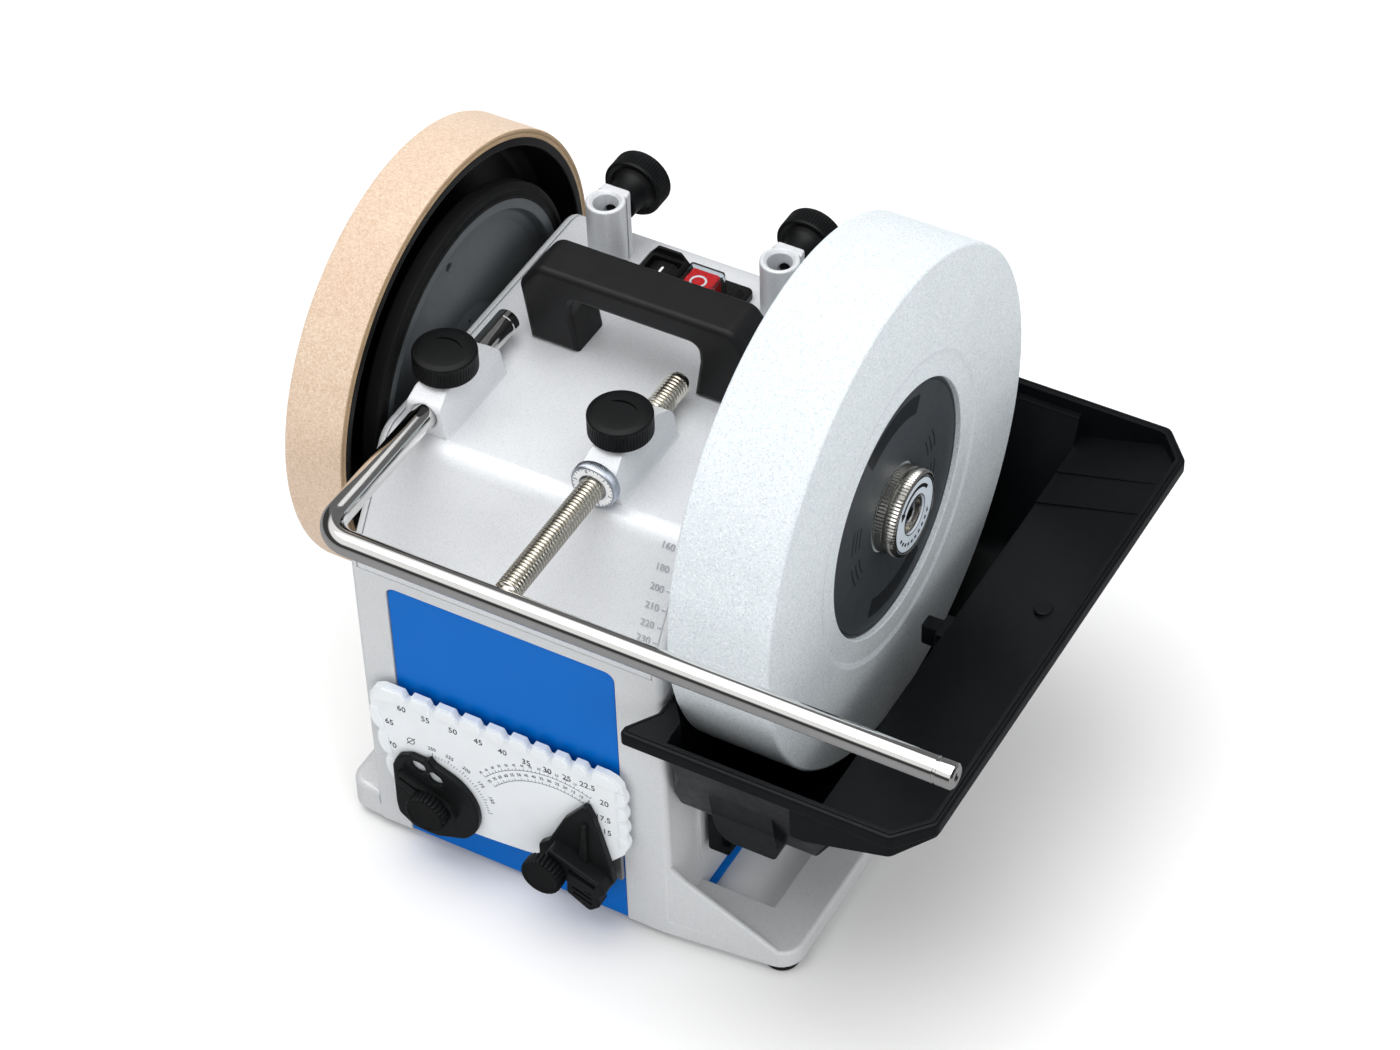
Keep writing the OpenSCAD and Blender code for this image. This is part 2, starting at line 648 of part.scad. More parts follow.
module micro_adjust_nut() color([0.75, 0.77, 0.8]) place()
  translate([right_leg_x, block_front - 0.4, leg_z]) rotate([90, 0, 0]) rotate_extrude() polygon([
    [bar_bore_r, 0], [10.8, 0], [11.5, 0.6], [11.5, 4.6], [11.0, 5.2],
    [bar_bore_r + 0.6, 5.2], [bar_bore_r, 4.6]]);

// ---- locking knobs -------------------------------------------------------

// plastic head moulded on a steel stud, drawn along +Z with the neck's foot
// at z = 0 and the stud reaching down by stud_l
module knob(neck_h, neck_r, stud_l) {
  knob_r = knob_d / 2;
  rotate_extrude() polygon([
    [0, -stud_l], [3.4, -stud_l], [3.98, 0.6 - stud_l], [3.98, 0], [neck_r, 0],
    [neck_r + 1, neck_h], [knob_r - 0.6, neck_h], [knob_r, neck_h + 0.8],
    [knob_r, neck_h + knob_h - 2], [knob_r - 1.4, neck_h + knob_h - 0.6],
    [0, neck_h + knob_h]]);
}

front_knob_z = block_top + 0.3;
rear_knob_gap = lug_d + 0.4;
module front_knob(x)
  translate([x, front_knob_y, front_knob_z]) knob(1, 9, front_knob_z - (leg_z + bar_r + 0.25));
module rear_knob(x) translate([x, sleeve_y + rear_knob_gap, rear_knob_z])
  rotate([-90, 0, 0]) knob(12, 8.6, rear_knob_gap - bar_bore_r - 0.6);

module front_left_knob() color(black) place() front_knob(left_leg_x);
module front_right_knob() color(black) place() front_knob(right_leg_x);
module rear_left_knob() color(black) place() rear_knob(left_sleeve_x);
module rear_right_knob() color(black) place() rear_knob(right_sleeve_x);

// ---- water tray ----------------------------------------------------------

tray_left = 83.2;
tray_right = 222;
tray_half_d = 145;
tray_rim_z = 165;
tray_t = 2.6;

// outlines (x, y) of the rim, outside and inside
rim_outer = both_sides([
  [tray_left, -half_d - 6], [74, -tray_half_d + 5], [74, -tray_half_d], [207, -tray_half_d],
  [tray_right, -tray_half_d + 17]], [1, -1]);
rim_inner = both_sides([
  [tray_left + tray_t, -tray_half_d + 4.5], [205.5, -tray_half_d + 4.5],
  [tray_right - 4.5, -tray_half_d + 18.5]], [1, -1]);

// section (y, z) of the trough around the stone, moved inwards by inset
function trough(inset) = both_sides([
  [-tray_half_d + 5 + inset, tray_rim_z + 1], [-tray_half_d + 5 + inset, 158],
  [-110 + inset, 88 + inset * 0.3], [-60 + inset * 0.4, 66 + inset]], [-1, 1]);

// the trough narrows towards its ends and towards its bottom
module trough_room(inset) intersection() {
  zprism(50, 400, both_sides([
    [tray_left + inset, -116], [92.5 + inset, -127], [92.5 + inset, -200], [190, -200]], [1, -1]));
  yprism(-210, 210, [
    [80, 50], [152 - inset, 50], [152 - inset, 90 + inset * 0.5],
    [166 - inset * 0.96, 119 + inset * 0.2], [166 - inset * 0.96, 400], [80, 400]]);
}

module water_tray() color(black) place() difference() {
  union() {
    intersection() {
      xprism(tray_left, 166, trough(0));
      zprism(60, tray_rim_z, rim_outer);
      trough_room(0);
    }
    // shallow shelf to the right of the trough
    intersection() {
      yprism(-tray_half_d, tray_half_d, [
        [tray_left, 156], [160, 140], [166, 140.5], [tray_right + 1, 157],
        [tray_right + 1, tray_rim_z], [tray_left, tray_rim_z]]);
      zprism(60, tray_rim_z, rim_outer);
      box(160, 230, -tray_half_d, tray_half_d, 60, tray_rim_z);
    }
    zprism(157.5, tray_rim_z, rim_outer);
    // lip on the front wall
    intersection() {
      xprism(100, 145, [[-118, 110], [-123.5, 106], [-114.5, 80], [-106, 79.4], [-100, 92]]);
      yprism(-130, -95, [
        [106, 115], [105.5, 91], [110, 84], [118, 79.4],
        [129, 79.4], [134.5, 84], [137.5, 91], [138, 115]]);
    }
    // hooks beside the rails of the housing
    for (y = [-88, 76]) {
      box(tray_left + 0.4, 91, y, y + 12, 40, 82);
      box(tray_left + 0.4, 95, y, y + 12, 36, 42);
    }
  }
  // hollows of the trough, the shelf and the rim
  intersection() {
    xprism(tray_left + tray_t, 163.5, trough(tray_t));
    trough_room(tray_t);
  }
  intersection() {
    yprism(-tray_half_d, tray_half_d, [
      [tray_left, 158.8], [tray_left + 3, 158.8], [160, 142.8], [166, 143.2],
      [tray_right - 4, 159], [tray_right - 4, tray_rim_z + 1], [tray_left, tray_rim_z + 1]]);
    zprism(60, tray_rim_z + 1, rim_inner);
    box(163.3, 230, -tray_half_d, tray_half_d, 60, tray_rim_z + 1);
  }
  intersection() {
    zprism(158.5, tray_rim_z + 1, rim_inner);
    union() {
      trough_room(tray_t);
      box(150, 230, -tray_half_d, tray_half_d, 150, tray_rim_z + 2);
    }
  }
}

module tray_magnet() color([0.12, 0.12, 0.13]) place() union() {
  box(158.6, 163.5, -6, 8, 120, 141);
  box(150.5, 158.6, -3, 5, 128, 140);
}

// ---- angle gauge: outlines are in (x, z) ---------------------------------

gauge_front = -126;
gauge_back = -122.6;
dial_at = [-40.4, 45];
pointer_at = [26, 42];
gauge_hole_r = 3.05;

// row of flat-topped lobes along an edge
function lobes(from, to, count, height) =
  let (step = (to - from) / count, along = step / norm(step), out = [-along[1], along[0]])
  [for (i = [0:count - 1], k = [0:3])
    from + step * (i + 0.1 + 0.8 * k / 3) + out * (k == 0 || k == 3 ? 0 : height)];

module gauge_plate() color([0.93, 0.94, 0.95]) place() difference() {
  yprism(gauge_front, gauge_back, concat(
    lobes([-62, 29], [-74, 94], 4, 2.6),
    [[-74, 97], [-72.5, 104], [-67.8, 108.7], [-58, 109]],
    [[54, 108.6], [58.5, 107], [61.5, 103]],
    lobes([62.4, 100], [62.4, 61], 4, 1.6),
    [[61, 57], [54, 49.5], [44, 42], [26, 35], [6.2, 31.3], [-29.7, 28.5]]));
  // V notches along the top edge
  for (i = [0:8]) translate([-55.5 + 11.6 * i, gauge_front - 1, 109.5]) rotate([0, 45, 0])
    translate([-1.6, 0, -1.6]) cube([3.2, 6, 3.2]);
  for (p = [dial_at, pointer_at])
    ycyl(gauge_front - 1, gauge_back + 1, p[0], p[1], gauge_hole_r);
}

// per magnet: x of the disc, then x0, x1, z0, z1 of the block
magnets = [[-10, -16, -4, 40, 52], [45, 44, 57, 34, 60]];
module gauge_magnets() color([0.6, 0.61, 0.62]) place() for (m = magnets) union() {
  ycyl(gauge_back, -119.6, m[0], 70, 8);
  box(m[1], m[2], gauge_back, -120.2, m[3], m[4]);
}

module gauge_dial() color(black) place() difference() {
  union() {
    yprism(-129.6, gauge_front - 0.3, concat(
      [[-62, 26], [-63, 34], [-62.6, 62], [-58, 69.5], [-51, 71.5], [-44, 70.8],
       [-41.6, 73.4], [-39.4, 69.8]],
      [for (i = [0:6]) let (a = 62 - i * 19) dial_at + 24 * [cos(a), sin(a)]],
      [[-44, 20.2], [-52, 20.6]]));
    yprism(-132.6, -129.6, [[-59, 52], [-59, 56.5], [-56, 58.5], [-30, 47], [-28, 42], [-31, 38]]);
  }
  // window
  yprism(-131, gauge_front, [
    [-55, 61], [-52, 66.5], [-46, 67.5], [-34, 60.5], [-31, 56], [-33, 53.5], [-38, 55]]);
  ycyl(-140, gauge_front, dial_at[0], dial_at[1], gauge_hole_r);
}

module gauge_pointer() color(black) place() difference() {
  union() {
    yprism(-130, gauge_front - 0.3, [
      [16.5, 38], [17, 46], [22, 51], [31, 70], [42.5, 84.5], [44.6, 84.5],
      [47, 80], [55.5, 47], [56.5, 38], [52, 34], [30, 30.5], [19, 33]]);
    yprism(-138, -129.9, [
      [24, 47], [27, 55], [31, 52.5], [53, 43.4], [56, 38.6], [53, 34.4], [35, 38]]);
    yprism(-134, -126.3, [[34, 37], [50, 33], [50, 22], [45, 17.5], [33, 25]]);
  }
  ycyl(-140, gauge_front, pointer_at[0], pointer_at[1], gauge_hole_r);
}

// gauge knob at (x, z): ribbed head in front of y, clamp screw through the
// plate and a thin nut behind it
module gauge_knob(at, y) {
  translate([at[0], y, at[1]]) rotate([90, 0, 0]) difference() {
    cylinder(h = 7, r = 10.5);
    for (a = [0:20:359]) rotate([0, 0, a]) translate([11.1, 0, -1])
      cylinder(h = 9, r = 1.1, $fn = 16);
  }
  ycyl(y, gauge_back, at[0], at[1], 3.0);
  ycyl(gauge_back, gauge_back + 1.2, at[0], at[1], 5.5);
}
module dial_knob() color(black) place() union() gauge_knob(dial_at, -132.9);
module pointer_knob() color(black) place() union() gauge_knob(pointer_at, -138.3);

housing_shell();
cast_top();
blue_frame();
rubber_feet();
frame_screws();
carry_handle();
handle_screws();
shaft_bushes();
tray_rails();
switch_housing();
start_button();
stop_button();
stop_button_cover();
motor_bracket();
motor_pivot_pin();
motor_spring();
run_capacitor();
capacitor_clip();
wire_loom();
cord_grip();
mains_cord();
motor_cradle();
motor_stator();
motor_windings();
motor_end_bells();
motor_bearings();
motor_bolts();
rotor_core();
motor_spindle();
cooling_fan();
main_shaft();
grinding_stone();
stone_label();
inner_flange();
drive_disc();
drive_tyre();
drive_pin();
honing_wheel();
leather_strip();
honing_wheel_nut();
honing_wheel_washer();
quick_lock_nut();
lock_nut_face();
support_bar();
threaded_leg();
micro_adjust_nut();
front_left_knob();
front_right_knob();
rear_left_knob();
rear_right_knob();
water_tray();
tray_magnet();
gauge_plate();
gauge_magnets();
gauge_dial();
gauge_pointer();
dial_knob();
pointer_knob();
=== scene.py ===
# Wet grinding sharpener: housing, grindstone, honing wheel, tool support, water tray and
# angle gauge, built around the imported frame.
import json
import math

import bpy
import bmesh
import numpy as np
from mathutils import Matrix, Vector

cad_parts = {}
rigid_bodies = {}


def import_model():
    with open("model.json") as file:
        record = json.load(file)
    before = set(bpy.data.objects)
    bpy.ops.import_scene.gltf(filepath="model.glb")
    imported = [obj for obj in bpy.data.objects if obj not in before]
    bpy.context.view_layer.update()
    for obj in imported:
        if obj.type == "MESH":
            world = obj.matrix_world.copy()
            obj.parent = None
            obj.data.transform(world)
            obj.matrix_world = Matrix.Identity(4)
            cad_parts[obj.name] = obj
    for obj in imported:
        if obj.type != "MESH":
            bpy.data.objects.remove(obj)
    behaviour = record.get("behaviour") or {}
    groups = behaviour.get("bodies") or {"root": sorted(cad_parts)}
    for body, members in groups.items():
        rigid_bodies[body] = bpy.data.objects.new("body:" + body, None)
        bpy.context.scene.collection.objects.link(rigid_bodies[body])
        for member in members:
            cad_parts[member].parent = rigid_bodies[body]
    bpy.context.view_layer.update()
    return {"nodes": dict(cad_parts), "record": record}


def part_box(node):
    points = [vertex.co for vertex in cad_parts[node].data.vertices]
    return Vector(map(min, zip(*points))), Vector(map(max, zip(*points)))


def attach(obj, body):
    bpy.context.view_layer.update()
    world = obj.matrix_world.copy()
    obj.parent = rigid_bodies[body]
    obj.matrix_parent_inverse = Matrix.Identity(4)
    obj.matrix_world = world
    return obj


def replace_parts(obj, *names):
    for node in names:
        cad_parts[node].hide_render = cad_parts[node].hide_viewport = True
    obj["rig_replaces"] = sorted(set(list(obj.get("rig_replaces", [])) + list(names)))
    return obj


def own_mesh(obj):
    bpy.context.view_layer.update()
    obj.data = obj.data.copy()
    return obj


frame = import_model()
nodes = frame["nodes"]

SHAFT_Z = 205.0
SHAFT_LEFT = -129.0
AXIS = (0.0, SHAFT_Z)  # (y, z) of the main shaft

shaft_lo, shaft_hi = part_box("main_shaft")
OFFSET_X = shaft_lo.x * 1000 - SHAFT_LEFT
OFFSET_Y = (shaft_lo.y + shaft_hi.y) * 500
OFFSET_Z = (shaft_lo.z + shaft_hi.z) * 500 - SHAFT_Z

slot_of = {s["node"]: s["material_slot"] for s in frame["record"].get("subparts", [])}
node_body = {}
for body_name, members in (frame["record"].get("behaviour") or {}).get("bodies", {}).items():
    for member in members:
        node_body[member] = body_name


# ---------------------------------------------------------------- outlines


def rounded(points, radius, steps=4, closed=True):
    """outline with rounded corners; radius is one value or one per corner"""
    out = []
    count = len(points)
    for i, point in enumerate(points):
        wanted = radius[i] if isinstance(radius, (list, tuple)) else radius
        if wanted <= 0 or (not closed and i in (0, count - 1)):
            out.append((point[0], point[1]))
            continue
        corner = Vector(point)
        back = Vector(points[i - 1]) - corner
        ahead = Vector(points[(i + 1) % count]) - corner
        back_len, ahead_len = back.length, ahead.length
        back /= back_len
        ahead /= ahead_len
        angle = math.acos(max(-1.0, min(1.0, back.dot(ahead))))
        if angle > 3.08:  # nearly straight
            out.append((point[0], point[1]))
            continue
        reach = min(wanted / math.tan(angle / 2), 0.48 * back_len, 0.48 * ahead_len)
        fitted = reach * math.tan(angle / 2)
        centre = corner + (back + ahead).normalized() * (fitted / math.sin(angle / 2))
        first, last = corner + back * reach, corner + ahead * reach
        start = math.atan2(first.y - centre.y, first.x - centre.x)
        sweep = math.atan2(last.y - centre.y, last.x - centre.x) - start
        while sweep > math.pi:
            sweep -= 2 * math.pi
        while sweep < -math.pi:
            sweep += 2 * math.pi
        for k in range(steps + 1):
            turn = start + sweep * k / steps
            out.append((centre.x + fitted * math.cos(turn), centre.y + fitted * math.sin(turn)))
    return out


def eased(points, radii, steps=3):
    """open profile with rounded corners; its ends stay"""
    return rounded(points, radii, steps, closed=False)


def rect(x0, x1, y0, y1, radius=0.0, steps=4):
    points = [(x0, y0), (x1, y0), (x1, y1), (x0, y1)]
    return rounded(points, radius, steps) if radius > 0 else points


def signed_area(points):
    return sum(points[i - 1][0] * points[i][1] - points[i][0] * points[i - 1][1]
               for i in range(len(points))) / 2


def inset(points, distance):
    """outline moved inwards, corner by corner"""
    side = 1.0 if signed_area(points) > 0 else -1.0
    out = []
    for i, point in enumerate(points):
        corner = Vector(point)
        before = corner - Vector(points[i - 1])
        after = Vector(points[(i + 1) % len(points)]) - corner
        if before.length < 1e-9 or after.length < 1e-9:
            out.append(tuple(point))
            continue
        before.normalize()
        after.normalize()
        normal_a = Vector((-before.y, before.x)) * side
        normal_b = Vector((-after.y, after.x)) * side
        miter = (normal_a + normal_b) / max(1 + normal_a.dot(normal_b), 0.35)
        out.append((corner.x + miter.x * distance, corner.y + miter.y * distance))
    return out


def polar(cx, cy, radius, degrees):
    turn = math.radians(degrees)
    return (cx + radius * math.cos(turn), cy + radius * math.sin(turn))


def arc(cx, cy, radius, start, end, steps):
    """points of an arc, both ends included; angles in degrees"""
    return [polar(cx, cy, radius, start + (end - start) * i / steps) for i in range(steps + 1)]


def band(cx, cy, outer, inner, start, end, steps):
    """arc-shaped strip between two radii"""
    return arc(cx, cy, outer, start, end, steps) + arc(cx, cy, inner, end, start, steps)


def hexagon(radius):
    """hexagon round the main shaft"""
    return arc(*AXIS, radius, 0, 300, 5)


def mirrored(side, low, high):
    """a span on the + side, or its mirror image on the - side"""
    return (low, high) if side > 0 else (-high, -low)


def place(axis, along, point):
    if axis == "x":
        return (along, point[0], point[1])
    if axis == "y":
        return (point[0], along, point[1])
    return (point[0], point[1], along)


# ------------------------------------------------------------ mesh builder


class Solid:
    """collects closed shells in design millimetres"""

    def __init__(self):
        self.verts = []
        self.faces = []
        self.slots = []

    def add(self, verts, faces, slot=0):
        start = len(self.verts)
        self.verts += [tuple(p) for p in verts]
        self.faces += [[i + start for i in face] for face in faces]
        self.slots += [slot] * len(faces)
        return self

    def prism(self, axis, low, high, outline, low_rim=0.0, high_rim=0.0, steps=3, slot=0):
        """outline drawn out along an axis; its rims are rounded by their radii"""
        rings = []  # (place on the axis, inset)
        for k in range(steps, 0, -1) if low_rim > 0 else ():
            turn = math.pi / 2 * k / steps
            rings.append((low + low_rim - low_rim * math.sin(turn),
                          low_rim * (1 - math.cos(turn))))
        rings.append((low + low_rim, 0.0))
        rings.append((high - high_rim, 0.0))
        for k in range(1, steps + 1) if high_rim > 0 else ():
            turn = math.pi / 2 * k / steps
            rings.append((high - high_rim + high_rim * math.sin(turn),
                          high_rim * (1 - math.cos(turn))))
        count = len(outline)
        verts = []
        for along, inward in rings:
            ring = inset(outline, inward) if inward > 0 else outline
            verts += [place(axis, along, p) for p in ring]
        faces = [list(range(count))[::-1], [len(verts) - count + i for i in range(count)]]
        for j in range(len(rings) - 1):
            a, b = j * count, (j + 1) * count
            for i in range(count):
                k = (i + 1) % count
                faces.append([a + i, a + k, b + k, b + i])
        return self.add(verts, faces, slot)

    def box(self, x0, x1, y0, y1, z0, z1, radius=0.0, steps=3):
        outline = rect(x0, x1, y0, y1, radius, steps)
        return self.prism("z", z0, z1, outline, radius, radius, steps)

    def lathe(self, axis, centre, profile, segments, shape=None, slot=0):
        """solid of revolution of (radius, place) points; closed on itself unless both
        ends lie on the axis; shape(radius, place, turn) may move each point"""
        closed = not (profile[0][0] < 1e-6 and profile[-1][0] < 1e-6)
        verts = []
        rings = []
        for radius, along in profile:
            if radius < 1e-6:
                rings.append([len(verts)] * segments)
                verts.append(place(axis, along, centre))
                continue
            ring = []
            for i in range(segments):
                turn = 2 * math.pi * i / segments
                r, a = shape(radius, along, turn) if shape else (radius, along)
                ring.append(len(verts))
                point = (centre[0] + r * math.cos(turn), centre[1] + r * math.sin(turn))
                verts.append(place(axis, a, point))
            rings.append(ring)
        faces = []
        for j in range(len(profile) if closed else len(profile) - 1):
            ring, following = rings[j], rings[(j + 1) % len(profile)]
            for i in range(segments):
                k = (i + 1) % segments
                face = list(dict.fromkeys([ring[i], ring[k], following[k], following[i]]))
                if len(face) > 2:
                    faces.append(face)
        return self.add(verts, faces, slot)

    def rod(self, axis, low, high, centre, radius, segments):
        return self.lathe(axis, centre, [(0, low), (radius, low), (radius, high), (0, high)],
                          segments)

    def tube(self, path, radii, segments):
        """round bar swept along a path, one radius per point"""
        points = [Vector(p) for p in path]
        last = len(points) - 1
        verts, faces = [], []
        up = Vector((0, 0, 1))
        tangent = (points[1] - points[0]).normalized()
        if abs(tangent.dot(up)) > 0.9:
            up = Vector((1, 0, 0))
        normal = (up - tangent * up.dot(tangent)).normalized()
        for i, point in enumerate(points):
            if i == 0:
                tangent = (points[1] - points[0]).normalized()
            elif i == last:
                tangent = (points[-1] - points[-2]).normalized()
            else:
                tangent = ((points[i + 1] - point).normalized()
                           + (point - points[i - 1]).normalized()).normalized()
            normal = (normal - tangent * normal.dot(tangent)).normalized()
            across = tangent.cross(normal)
            for k in range(segments):
                turn = 2 * math.pi * k / segments
                verts.append(point + normal * (radii[i] * math.cos(turn))
                             + across * (radii[i] * math.sin(turn)))
        for i in range(last):
            a, b = i * segments, (i + 1) * segments
            for k in range(segments):
                n = (k + 1) % segments
                faces.append([a + k, a + n, b + n, b + k])
        faces.append(list(range(segments))[::-1])
        faces.append([last * segments + k for k in range(segments)])
        return self.add(verts, faces)

    def text(self, words, size, to_place, depth, slot):
        """raised characters; to_place maps text coordinates to design ones"""
        curve = bpy.data.curves.new("sign", "FONT")
        curve.body = words
        curve.size = size
        curve.extrude = depth / 2
        curve.align_x = "CENTER"
        curve.align_y = "CENTER"
        curve.resolution_u = 3
        ob = bpy.data.objects.new("sign", curve)
        bpy.context.scene.collection.objects.link(ob)
        graph = bpy.context.evaluated_depsgraph_get()
        mesh = bpy.data.meshes.new_from_object(ob.evaluated_get(graph))
        self.add([to_place(*v.co) for v in mesh.vertices],
                 [list(p.vertices) for p in mesh.polygons], slot)
        bpy.data.objects.remove(ob)
        bpy.data.curves.remove(curve)
        bpy.data.meshes.remove(mesh)
        return self

    def object(self):
        """one linked object of these shells, welded"""
        bm = bmesh.new()
        verts = [bm.verts.new(p) for p in self.verts]
        bm.verts.ensure_lookup_table()
        for face, slot in zip(self.faces, self.slots):
            # a face that repeats another one is refused and left out
            try:
                bm.faces.new([verts[i] for i in face]).material_index = slot
            except ValueError:
                pass
        bmesh.ops.remove_doubles(bm, verts=bm.verts, dist=1e-4)
        bmesh.ops.dissolve_degenerate(bm, edges=bm.edges, dist=1e-5)
        bmesh.ops.recalc_face_normals(bm, faces=bm.faces)
        mesh = bpy.data.meshes.new("part")
        bm.to_mesh(mesh)
        bm.free()
        ob = bpy.data.objects.new("part", mesh)
        bpy.context.scene.collection.objects.link(ob)
        return ob


def as_object(part):
    return part.object() if isinstance(part, Solid) else part


def discard(ob):
    mesh = ob.data
    bpy.data.objects.remove(ob)
    bpy.data.meshes.remove(mesh)


def swap_mesh(ob, mesh):
    old = ob.data
    ob.data = mesh
    bpy.data.meshes.remove(old)


def apply_modifiers(ob):
    graph = bpy.context.evaluated_depsgraph_get()
    mesh = bpy.data.meshes.new_from_object(ob.evaluated_get(graph))
    ob.modifiers.clear()
    swap_mesh(ob, mesh)


def boolean(ob, tool, operation):
    tool = as_object(tool)
    mod = ob.modifiers.new("cut", "BOOLEAN")
    mod.operation = operation
    mod.solver = "MANIFOLD"
    mod.object = tool
    apply_modifiers(ob)
    discard(tool)


def cut(ob, tool):
    boolean(ob, tool, "DIFFERENCE")


def fuse(ob, tool):
    boolean(ob, tool, "UNION")


def clip(ob, tool):
    boolean(ob, tool, "INTERSECT")


def join(ob, other):
    """adds another part's shells, keeping their material numbers"""
    other = as_object(other)
    bm = bmesh.new()
    bm.from_mesh(ob.data)
    bm.from_mesh(other.data)
    bm.to_mesh(ob.data)
    bm.free()
    discard(other)


def folded_faces(mesh):
    """how many many-sided faces fold over themselves"""
    bm = bmesh.new()
    bm.from_mesh(mesh)
    covered = {}
    for loops in bm.calc_loop_triangles():
        face = loops[0].face
        if len(face.verts) > 4:
            p, q, r = (loop.vert.co for loop in loops)
            area = (q - p).cross(r - p).length / 2
            covered[face.index] = covered.get(face.index, 0.0) + area
    bm.faces.ensure_lookup_table()
    bad = sum(1 for i, area in covered.items()
              if area - bm.faces[i].calc_area() > max(0.02, 0.01 * area))
    bm.free()
    return bad


def round_edges(ob, width, segments, angle):
    """rounds the sharp edges; narrower where the full width would fold faces"""
    start = ob.data.copy()
    allowed = folded_faces(start)
    for share in (1.0, 0.7, 0.5, 0.35, 0.22):
        mod = ob.modifiers.new("edge", "BEVEL")
        mod.width = width * share
        mod.segments = segments
        mod.limit_method = "ANGLE"
        mod.angle_limit = math.radians(angle)
        mod.use_clamp_overlap = False
        mod.miter_outer = "MITER_ARC"
        apply_modifiers(ob)
        if folded_faces(ob.data) <= allowed:
            break
        swap_mesh(ob, start.copy())
    bpy.data.meshes.remove(start)


def clean(ob, weld, flat_angle):
    """welds, joins flat neighbours into single faces"""
    bm = bmesh.new()
    bm.from_mesh(ob.data)
    bmesh.ops.remove_doubles(bm, verts=bm.verts, dist=weld)
    bmesh.ops.dissolve_limit(bm, angle_limit=math.radians(flat_angle), verts=bm.verts,
                             edges=bm.edges, delimit={"MATERIAL"})
    bmesh.ops.recalc_face_normals(bm, faces=bm.faces)
    bm.to_mesh(ob.data)
    bm.free()


def finish(part, name, node, slot, materials=None, sharp=32, weighted=True):
    """moves a drawn piece into the row frame and hands it over in place of a node;
    slot also names its material unless materials are given"""
    ob = as_object(part)
    ob.name = name
    mesh = ob.data
    mesh.name = name
    coords = np.empty(len(mesh.vertices) * 3)
    mesh.vertices.foreach_get("co", coords)
    coords = (coords.reshape(-1, 3) + np.array([OFFSET_X, OFFSET_Y, OFFSET_Z])) / 1000.0
    mesh.vertices.foreach_set("co", coords.ravel())
    face_slots = np.zeros(len(mesh.polygons), dtype=np.int32)
    mesh.polygons.foreach_get("material_index", face_slots)
    mesh.materials.clear()
    for material in materials or (slot,):
        mesh.materials.append(MATERIALS[material])
    mesh.polygons.foreach_set("material_index", face_slots)
    mesh.polygons.foreach_set("use_smooth", [True] * len(mesh.polygons))
    mesh.set_sharp_from_angle(angle=math.radians(sharp))
    mesh.update()
    if weighted:
        mod = ob.modifiers.new("normals", "WEIGHTED_NORMAL")
        mod.keep_sharp = True
        mod.weight = 60
    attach(ob, node_body[node])
    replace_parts(ob, node)
    return ob


def keep_cad(node, material):
    """a carried-over node: welded, flat faces joined, edges softened"""
    ob = nodes[node]
    ob.data.materials.clear()
    ob.data.materials.append(material)
    mod = ob.modifiers.new("weld", "WELD")
    mod.merge_threshold = 2e-6
    mod = ob.modifiers.new("flat", "DECIMATE")
    mod.decimate_type = "DISSOLVE"
    mod.angle_limit = math.radians(0.6)
    mod = ob.modifiers.new("edge", "BEVEL")
    mod.width = 0.3 / 1000
    mod.segments = 2
    mod.limit_method = "ANGLE"
    mod.angle_limit = math.radians(35)
    mod.use_clamp_overlap = True
    mod.harden_normals = False
    mod = ob.modifiers.new("normals", "WEIGHTED_NORMAL")
    mod.keep_sharp = False


# --------------------------------------------------------------- materials


def linear(rgb):
    """display colour 0..255 to linear with alpha"""
    return tuple((v / 255) / 12.92 if v / 255 <= 0.04045 else ((v / 255 + 0.055) / 1.055) ** 2.4
                 for v in rgb) + (1.0,)


class Nodes:
    """shader nodes of one tree"""

    def __init__(self, tree):
        self.tree = tree

    def feed(self, socket, value):
        """links an output, or sets a plain value"""
        if isinstance(value, bpy.types.NodeSocket):
            self.tree.links.new(value, socket)
        else:
            socket.default_value = value

    def node(self, kind, settings=None, **inputs):
        node = self.tree.nodes.new(kind)
        for name, value in (settings or {}).items():
            setattr(node, name, value)
        for name, value in inputs.items():
            self.feed(node.inputs[name], value)
        return node

    def math(self, operation, *values):
        node = self.node("ShaderNodeMath", {"operation": operation})
        for i, value in enumerate(values):
            self.feed(node.inputs[i], value)
        return node.outputs[0]

    def ramp(self, source, low, high, to_low=0.0, to_high=1.0, kind="LINEAR"):
        node = self.node("ShaderNodeMapRange", {"interpolation_type": kind})
        values = {"From Min": low, "From Max": high, "To Min": to_low, "To Max": to_high,
                  "Value": source}
        for name, value in values.items():
            self.feed(node.inputs[name], value)
        return node.outputs["Result"]


DRAFTS = {}


